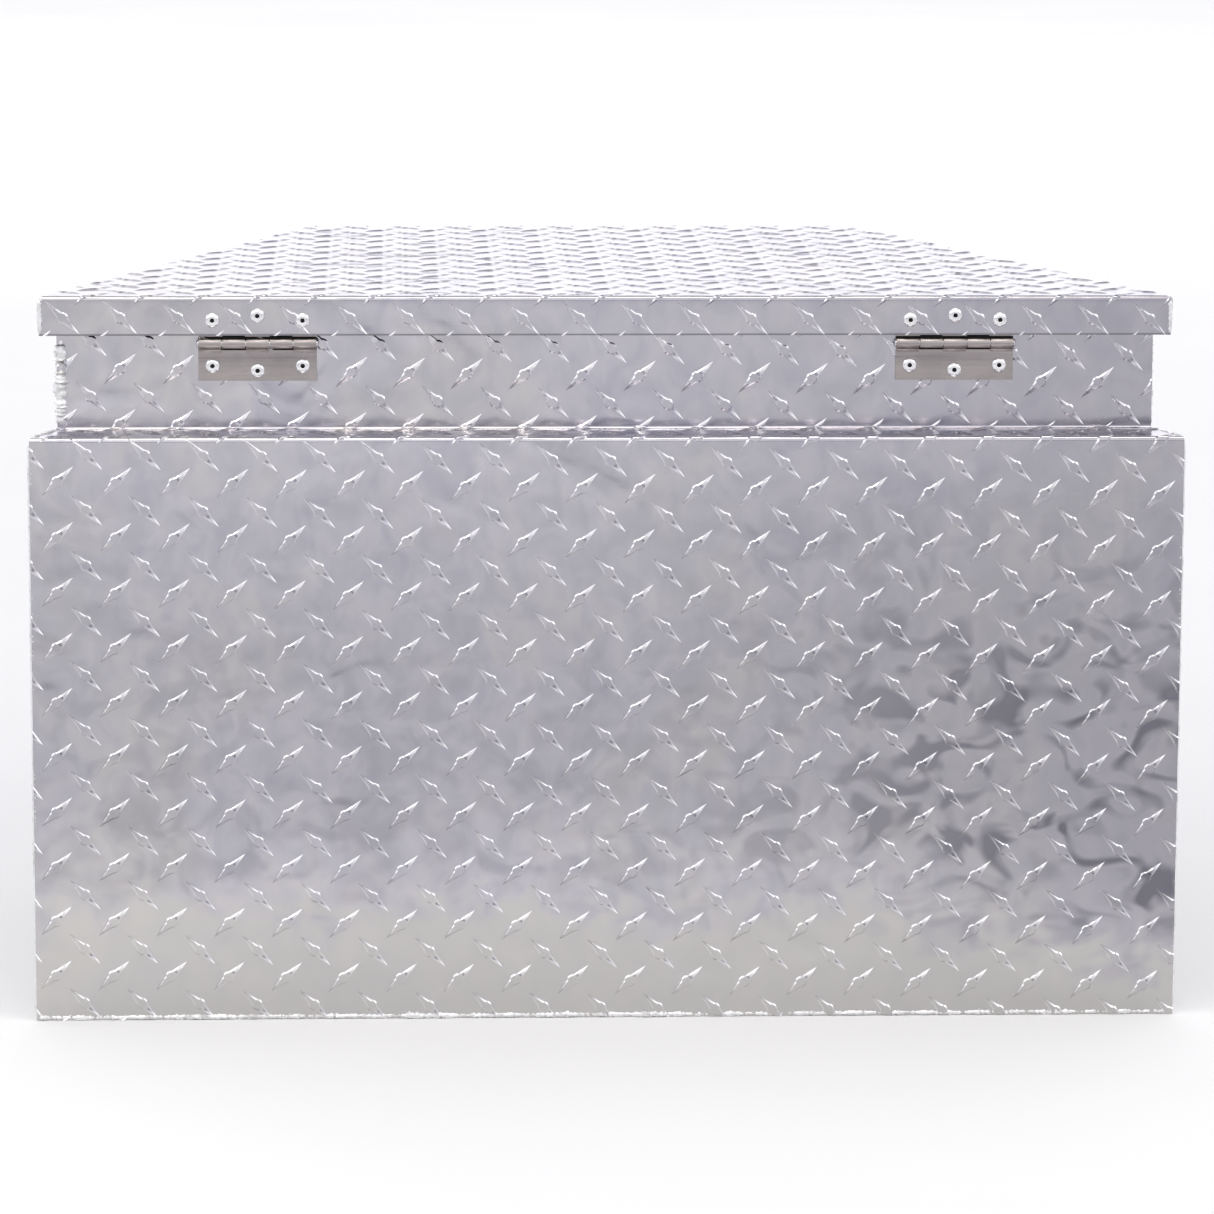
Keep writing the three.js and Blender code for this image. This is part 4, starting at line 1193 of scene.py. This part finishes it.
def build_leaf(side, half, up, body):
    node = f"hinge_{side}_{half}_leaf"
    low, high = corner(node, 0), corner(node, 1)
    pin_x, pin_y, pin_z = middle_of(f"hinge_{side}_pin")
    back = high[1]
    far = high[2] if up > 0 else low[2]
    x0, x1 = low[0], high[0]
    if up > 0:
        x0, x1 = pin_x - LEAF_HALF, pin_x + LEAF_HALF
    near = pin_z + up * (HINGE_ROLL + 1.1)
    root = [(back, pin_z + up), (back - 0.4, pin_z + up), (back - 0.4, near), (back, near)]
    plate = [(back, near), (back - LEAF, near), (back - LEAF, far), (back, far)]
    parts = [prism(plate, x0, x1), prism(root, x0, x1)]
    pitch = (x1 - x0) / KNUCKLES
    for index in range(KNUCKLES):
        if (index % 2 == 1) == (up > 0):
            start = x0 + index * pitch
            section = knuckle_section(back, pin_y, pin_z, up)
            parts.append(prism(section, start + KNUCKLE_GAP, start + pitch - KNUCKLE_GAP))
    obj = outward_facing(new_object(f"hinge_{side}_{half}_rolled_leaf", *merged(parts),
                                    [HINGE, PAINTED_SHADE]))
    finish_piece(smooth(bevelled(obj, 0.12), 40), body, [node])
    # Faces between the pin and the plate's top edge, and the lid leaf's root behind the flange, get
    # the near-black material: painted shade for the dark gaps.
    for face in obj.data.polygons:
        spot = np.array(face.center) / MM
        past_pin = (spot[2] - pin_z) * up
        notch_shade = spot[1] > back - LEAF and 0 < past_pin < HINGE_ROLL + 1.2
        shade_behind_flange = up > 0 and spot[1] > pin_y and HINGE_ROLL - 0.1 < past_pin < KNUCKLE_FOOT
        if notch_shade or shade_behind_flange:
            face.material_index = 1


def build_pin(side):
    node = f"hinge_{side}_pin"
    half = (corner(node, 1) - corner(node, 0))[0] / 2
    head = [(0.6, half), (1.7, half - 0.15), (2.5, half - 0.6), (2.8, half - 1.15),
            (1.75, half - 1.2)]
    profile = head + [(radius, -along) for radius, along in reversed(head)]
    obj = lathe(f"hinge_{side}_turned_pin", profile, middle_of(node), (1, 0, 0), BRIGHT, 24)
    finish_piece(obj, "box", [node])


def build_hinges():
    for side in ("left", "right"):
        build_leaf(side, "body", -1, "box")
        build_leaf(side, "lid", 1, "lid")
        build_pin(side)
        for k in (1, 2, 3):
            build_rivet(f"hinge_{side}_body_rivet_{k}", "box")
            build_rivet(f"hinge_{side}_lid_rivet_{k}", "lid")
    for k in (1, 2, 3, 4):
        build_rivet(f"latch_rivet_{k}", "box")


# Seal, latch and struts --------------------

SEAL_OUTER, SEAL_INNER = 4.5, 14.5  # from the outer face of the walls
SEAL_SHOULDER = 6.5  # height of the straight sides


def build_seal():
    """A D-section foam strip round the rim, mitred at the corners."""
    low, high = corner("rim_seal", 0)[2], corner("rim_seal", 1)[2]
    half = (SEAL_INNER - SEAL_OUTER) / 2
    crown = high - low - SEAL_SHOULDER
    arc = np.linspace(0, math.pi, 13)
    section = [(0.0, low)]
    section += [(half * (1 - math.cos(t)), low + SEAL_SHOULDER + crown * math.sin(t)) for t in arc]
    section.append((2 * half, low))
    vertices = []
    for across, z in section:
        inset = SEAL_OUTER + across
        back, front = NECK_Y + inset, FRONT_Y - inset
        for y, sign in ((back, -1), (back, 1), (front, 1), (front, -1)):
            vertices.append((sign * body_half(y, inset), y, z))
    faces = ring_faces(len(section), 4, closed=True)
    obj = outward_facing(new_object("foam_seal", vertices, faces, [RUBBER]))
    finish_piece(smooth(obj, 40), "box", ["rim_seal"])


def circle(radius, x, z, sides=40):
    turns = np.arange(sides) * 2 * math.pi / sides
    return np.stack([x + radius * np.cos(turns), z + radius * np.sin(turns)], 1)


def pierced(outer, holes, y_front, y_back):
    """A plate facing +Y with holes through it; its outer edge is left open."""
    loops = [np.asarray(loop, float) for loop in [outer] + holes]
    edges, start = [], 0
    for loop in loops:
        edges += loop_edges(start, len(loop))
        start += len(loop)
    flat, triangles = triangulate([tuple(q) for q in np.concatenate(loops)], edges, loops)
    count = len(flat)
    vertices = [(x, y, z) for y in (y_front, y_back) for x, z in flat]
    faces = [tuple(t) for t in triangles] + [tuple(t[::-1] + count) for t in triangles]
    outline = {tuple(np.round(q, 3)) for q in loops[0]}
    for a, b in rim_edges(triangles):
        if tuple(np.round(flat[a], 3)) not in outline:
            faces.append((b, a, a + count, b + count))
    return vertices, faces


# Half width, half height, corner radius and depth from the box's front face, from the middle
# of the dish's front out to its edge, and back along its rear
DISH_RINGS = [
    (48.5, 31.5, 3.6, -18.5), (50.3, 33.3, 4.4, -18.1), (51.6, 34.6, 4.9, -16.8),
    (52.2, 35.2, 5.1, -14.6), (52.6, 35.6, 5.3, 0.2), (53.2, 36.2, 5.8, 1.9),
    (54.2, 37.2, 6.6, 2.9), (55.4, 38.4, 7.6, 3.2), (66.5, 48.5, 8.6, 3.2),
    (67.0, 49.0, 9.0, 2.8), (67.0, 49.0, 9.0, 1.7), (55.6, 38.6, 7.6, 1.7),
    (54.4, 37.4, 6.6, 1.2), (54.0, 37.0, 6.0, 0.2), (53.9, 36.9, 6.0, -15.0),
    (53.3, 36.3, 5.8, -18.0), (51.4, 34.4, 5.0, -19.6), (48.5, 31.5, 3.6, -20.0),
]
ARM_SLOT = [(-5, 5), (5, 5), (5, 32), (-5, 32)]


def build_dish():
    """The latch's pressed tray: flange, rounded entry, walls and pierced floor."""
    middle = middle_of("latch_gasket")
    vertices = []
    for half_width, half_height, radius, depth in DISH_RINGS:
        ring = rounded_ring(half_width, half_height, radius)
        vertices += [(x, FRONT_Y + depth, middle[2] + z) for x, z in ring]
    sides = len(ring)
    skin = vertices, ring_faces(len(DISH_RINGS), sides)
    slot = [(x, middle[2] + z) for x, z in ARM_SLOT]
    lock = middle_of("latch_lock_barrel")
    hole = circle(8.3, lock[0], lock[2])
    floor_edge = np.array(vertices[:sides])[:, [0, 2]]
    floor_part = pierced(floor_edge, [slot, hole], FRONT_Y - 18.5, FRONT_Y - 20.0)
    obj = new_object("pressed_dish", *merged([skin, floor_part]), [BRIGHT])
    outward_facing(reworked(obj, join_points))
    finish_piece(smooth(obj, 30), "box", ["latch_dish"])


def build_paddle():
    """The pull: a plate with a rolled finger lip, three hinge eyes and the arm behind."""
    low, high = corner("latch_paddle", 0), corner("latch_paddle", 1)
    _, y, z = middle_of("latch_paddle_pin")
    foot = low[2]
    profile = [
        (y + 1.5, z + 2.6), (y + 1.5, foot + 4.0), (y + 1.7, foot + 1.6), (y + 2.6, foot + 0.5),
        (y + 4.2, foot), (y + 6.0, foot + 0.1), (y + 7.0, foot + 0.8), (y + 7.0, foot + 1.8),
        (y + 6.1, foot + 2.5), (y + 5.0, foot + 2.9), (y + 4.2, foot + 3.8), (y + 4.0, foot + 5.0),
        (y + 4.0, z + 2.2), (y + 3.6, z + 3.0),
    ]
    arm = [(y - 1, z + 3), (y - 19.5, z - 0.7), (y - 20.6, z - 1.5), (y - 21, z - 2.8),
           (y - 20.8, z - 5.2), (y - 20, z - 6), (y - 1, z - 3.5)]
    turns = np.linspace(0, 2 * math.pi, 25)[:-1]
    eye = [(y + 4 * math.cos(t), z + 4 * math.sin(t)) for t in turns]
    parts = [prism(profile, low[0], high[0]), prism(arm, -3, 3)]
    parts += [prism(eye, *span) for span in ((low[0], low[0] + 8), (high[0] - 8, high[0]), (-8, 8))]
    obj = outward_facing(new_object("pull_paddle", *merged(parts), [BRIGHT]))
    finish_piece(smooth(bevelled(obj, 0.4), 40), "paddle", ["latch_paddle"])


KEYWAY = [(-0.6, -3.2), (0.6, -3.2), (0.6, 3.2), (-0.6, 3.2)]


def build_lock():
    """The lock's barrel with its chamfered mouth, and the plug with its keyway and cam."""
    low, high = corner("latch_lock_barrel", 0), corner("latch_lock_barrel", 1)
    x, _, z = middle_of("latch_lock_barrel")
    length = high[1] - low[1]
    barrel = [(5.3, 0.02), (5.3, length - 1.0), (5.9, length - 0.3), (6.6, length),
              (7.5, length), (8.0, length - 0.5), (8.0, 0.5), (7.6, 0.0), (5.32, 0.0)]
    obj = lathe("lock_barrel", barrel, (x, low[1], z), (0, 1, 0), BRIGHT, 40, 30, capped=False)
    finish_piece(outward_facing(obj), "box", ["latch_lock_barrel"])

    plug_low, plug_high = corner("latch_lock_plug", 0), corner("latch_lock_plug", 1)
    face = plug_high[1]
    groove = face - 5.0
    keyway = [(x + a, z + b) for a, b in KEYWAY]
    front = circle(4.6, x, z)
    rings = [(4.6, face), (5.0, face - 0.5), (5.0, plug_low[1] + 1.0)]
    vertices = [(a, y, b) for radius, y in rings for a, b in circle(radius, x, z)]
    sides = len(front)
    shell = vertices, ring_faces(len(rings), sides) + [tuple(range(2 * sides, 3 * sides))]
    mouth = pierced(front, [keyway], face, groove)
    kept = [f for f in mouth[1] if not all(i >= len(mouth[0]) // 2 for i in f)]
    pocket = [(a, groove, b) for a, b in keyway], [(0, 1, 2, 3)]
    cam = prism([(plug_low[1], plug_low[2]), (plug_low[1] + 2, plug_low[2]),
                 (plug_low[1] + 2, plug_high[2]), (plug_low[1], plug_high[2])], x - 5, x + 5)
    parts = [shell, (mouth[0], kept), pocket]
    plug = outward_facing(reworked(new_object("lock_plug", *merged(parts), [ZINC]), join_points))
    arm = bevelled(outward_facing(new_object("lock_cam", *cam, [ZINC])), 0.4)
    for obj in (plug, arm):
        finish_piece(smooth(obj, 30), "lock", ["latch_lock_plug"])


def strut_line(side):
    """The strut's foot and head, and the direction between them."""
    x = middle_of(f"strut_{side}_cylinder")[0]
    foot, head = (np.array([x, *middle_of(f"strut_{side}_{end}_stud")[1:]])
                  for end in ("body", "lid"))
    return foot, head, (head - foot) / np.linalg.norm(head - foot)


CYLINDER = [(0.05, 13.3), (5.6, 13.3), (6.6, 13.8), (7.0, 15.0), (7.0, 93.0), (6.55, 94.2),
            (6.45, 95.0), (6.9, 96.0), (7.0, 97.2), (6.6, 98.9), (5.8, 100.4), (4.6, 101.3),
            (3.3, 101.3), (3.3, 96.0), (3.3, 17.3), (0.05, 17.3)]


def build_strut(side):
    foot, head, way = strut_line(side)
    length = np.linalg.norm(head - foot)
    across = -1 if foot[0] < 0 else 1
    tube = lathe(f"strut_{side}_tube", CYLINDER, foot, way, PAINT, 48, 30)
    finish_piece(outward_facing(tube), f"strut_{side}", [f"strut_{side}_cylinder"])
    rod_end = length - 15.3
    rod = [(0.05, 19.3), (2.6, 19.3), (3.0, 19.7), (3.0, rod_end - 0.4), (2.6, rod_end),
           (0.05, rod_end)]
    bar = lathe(f"strut_{side}_polished_rod", rod, foot, way, CHROME, 40, 30)
    finish_piece(outward_facing(bar), f"rod_{side}", [f"strut_{side}_rod"])
    eye = [(0.05, 4.0), (4.3, 4.0), (4.3, -5.5), (5.4, -5.5), (6.2, -5.2), (6.5, -4.5),
           (6.5, 4.5), (6.2, 5.2), (5.4, 5.5), (0.05, 5.5)]
    neck = [(0.05, 5.0), (4.4, 5.0), (5.0, 8.0), (5.0, 12.2), (4.6, 13.0), (0.05, 13.0)]
    head_neck = [(0.05, -5.0), (4.4, -5.0), (5.0, -8.0), (5.0, -14.2), (4.6, -15.0), (0.05, -15.0)]
    for end, place, shank, body in (("foot", foot, neck, f"strut_{side}"),
                                    ("head", head, head_neck, f"rod_{side}")):
        ring = lathe("part", eye, place, (across, 0, 0), PLASTIC, 40, 30)
        stem = lathe("part", shank, place, way, PLASTIC, 40, 30)
        obj = outward_facing(combined(f"strut_{side}_{end}_moulded_socket", [ring, stem]))
        finish_piece(obj, body, [f"strut_{side}_{end}_socket"])
    ball = [(0.05, -4.0), (1.5, -3.7), (2.8, -2.85), (3.7, -1.5), (4.0, 0.0), (3.7, 1.5),
            (2.8, 2.85), (2.0, 3.5), (2.0, 6.2), (0.05, 6.2)]
    nut = [(0.05, 6.2), (4.3, 6.2), (4.9, 6.5), (4.9, 7.9), (4.6, 8.35), (0.05, 8.35)]
    for end, place, body in (("body", foot, "box"), ("lid", head, f"rod_{side}")):
        round_part = lathe("part", ball, place, (-across, 0, 0), ZINC, 32, 40)
        hexagon = lathe("part", nut, place, (-across, 0, 0), ZINC, 6, 30)
        obj = outward_facing(combined(f"strut_{side}_{end}_ball", [round_part, hexagon]))
        finish_piece(obj, body, [f"strut_{side}_{end}_stud"])


def combined(name, objects):
    """One smooth object from several turned ones, which it removes."""
    material = objects[0].data.materials[0]
    parts = []
    for obj in objects:
        points = [tuple(np.array(v.co) / MM) for v in obj.data.vertices]
        parts.append((points, [tuple(face.vertices) for face in obj.data.polygons]))
        bpy.data.objects.remove(obj)
    return smooth(new_object(name, *merged(parts), [material]), 35)


SOFTENED = {
    "floor_pan": "tread_plate", "lid_stiffener": "tread_plate", "latch_gasket": "seal_rubber",
    "latch_striker": "zinc_steel", "latch_pawl": "zinc_steel", "latch_pawl_bracket": "zinc_steel",
    "strut_left_body_bracket": "zinc_steel", "strut_right_body_bracket": "zinc_steel",
    "strut_left_lid_bracket": "zinc_steel", "strut_right_lid_bracket": "zinc_steel",
}


def soften(node, material, body):
    """The node's own shape with its flat faces made whole and its edges rounded."""
    faces = [tuple(face.vertices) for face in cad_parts[node].data.polygons]
    obj = new_object(f"{node}_rounded", points_of(node), faces, [material])
    reworked(obj, join_points, make_faces_whole)
    finish_piece(smooth(bevelled(obj, 0.35), 40), body, [node])


def build_softened():
    finishes = {"tread_plate": MILL, "seal_rubber": RUBBER, "zinc_steel": ZINC}
    bodies = {"lid_stiffener": "lid", "latch_striker": "lid", "latch_pawl": "pawl",
              "strut_left_lid_bracket": "lid", "strut_right_lid_bracket": "lid"}
    for node, slot in SOFTENED.items():
        soften(node, finishes[slot], bodies.get(node, "box"))


def finish_nodes():
    """Every CAD node that still shows, the latch's pins and spring, gets its finish."""
    for name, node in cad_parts.items():
        if not node.hide_render:
            for slot in node.material_slots:
                slot.material = BRIGHT if name == "latch_pawl_spring" else ZINC


add_camera()
TREAD = tread_material()
MILL = mill_material()
WELD = weld_material()
HINGE = brushed_material("hinge_steel", (0.375, 0.34, 0.33), (0.425, 0.385, 0.375), 0.3)
BRIGHT = brushed_material("bright_steel", (0.60, 0.60, 0.61), (0.72, 0.72, 0.73), 0.2)
CHROME = brushed_material("chrome_rod", (0.62, 0.62, 0.63), (0.68, 0.68, 0.69), 0.12)
RIVET = brushed_material("rivet_metal", (0.84, 0.84, 0.85), (0.93, 0.93, 0.94), 0.24, (1, 1, 1))
# Near-black painted shade for the rivets' mandrel holes and the gaps round the hinge knuckles.
PAINTED_SHADE = dark_material("painted_recess_shade", (0.006, 0.006, 0.006), (0.02, 0.02, 0.02), 0.8, 800, 0.00003)
ZINC = zinc_material()
PAINT = dark_material("strut_paint", (0.012, 0.012, 0.013), (0.05, 0.05, 0.05), 0.33, 900, 0.00002)
PLASTIC = dark_material("socket_plastic", (0.016, 0.016, 0.017), (0.06, 0.06, 0.06), 0.5, 1400,
                        0.00004)
RUBBER = dark_material("seal_rubber", (0.012, 0.012, 0.012), (0.07, 0.07, 0.07), 0.78, 700,
                       0.0001)
add_sky()
add_floor()
bpy.context.scene.view_settings.view_transform = "Standard"
add_sun((0.0, 0.35, -1.0), 0.12, 12, (1.0, 0.99, 0.97))
add_light("left_strip", (-2.9, -1.2, 2.7), (0, -0.2, 0.3), (0.8, 0.9), 5)
add_light("right_strip", (2.9, -1.2, 2.7), (0, -0.2, 0.3), (0.8, 0.9), 6)
add_light("pool", (0, -0.45, 1.5), (0, -0.45, 0), (1.6, 0.3), 1.0, (1.0, 0.95, 0.86), 60)
add_light("left_pool", (-0.9, -1.9, 1.8), (-0.7, -1.6, 0), (0.8, 1.6), 1.6, spread=70)
add_light("backdrop", (0, 7, 4), (0, 7, 0), (7, 6), 60)

build_back()
build_lid()
build_front()
build_side("left", -1)
build_side("right", 1)
build_welds()
build_hinges()
build_seal()
build_dish()
build_paddle()
build_lock()
build_strut("left")
build_strut("right")
build_softened()
finish_nodes()
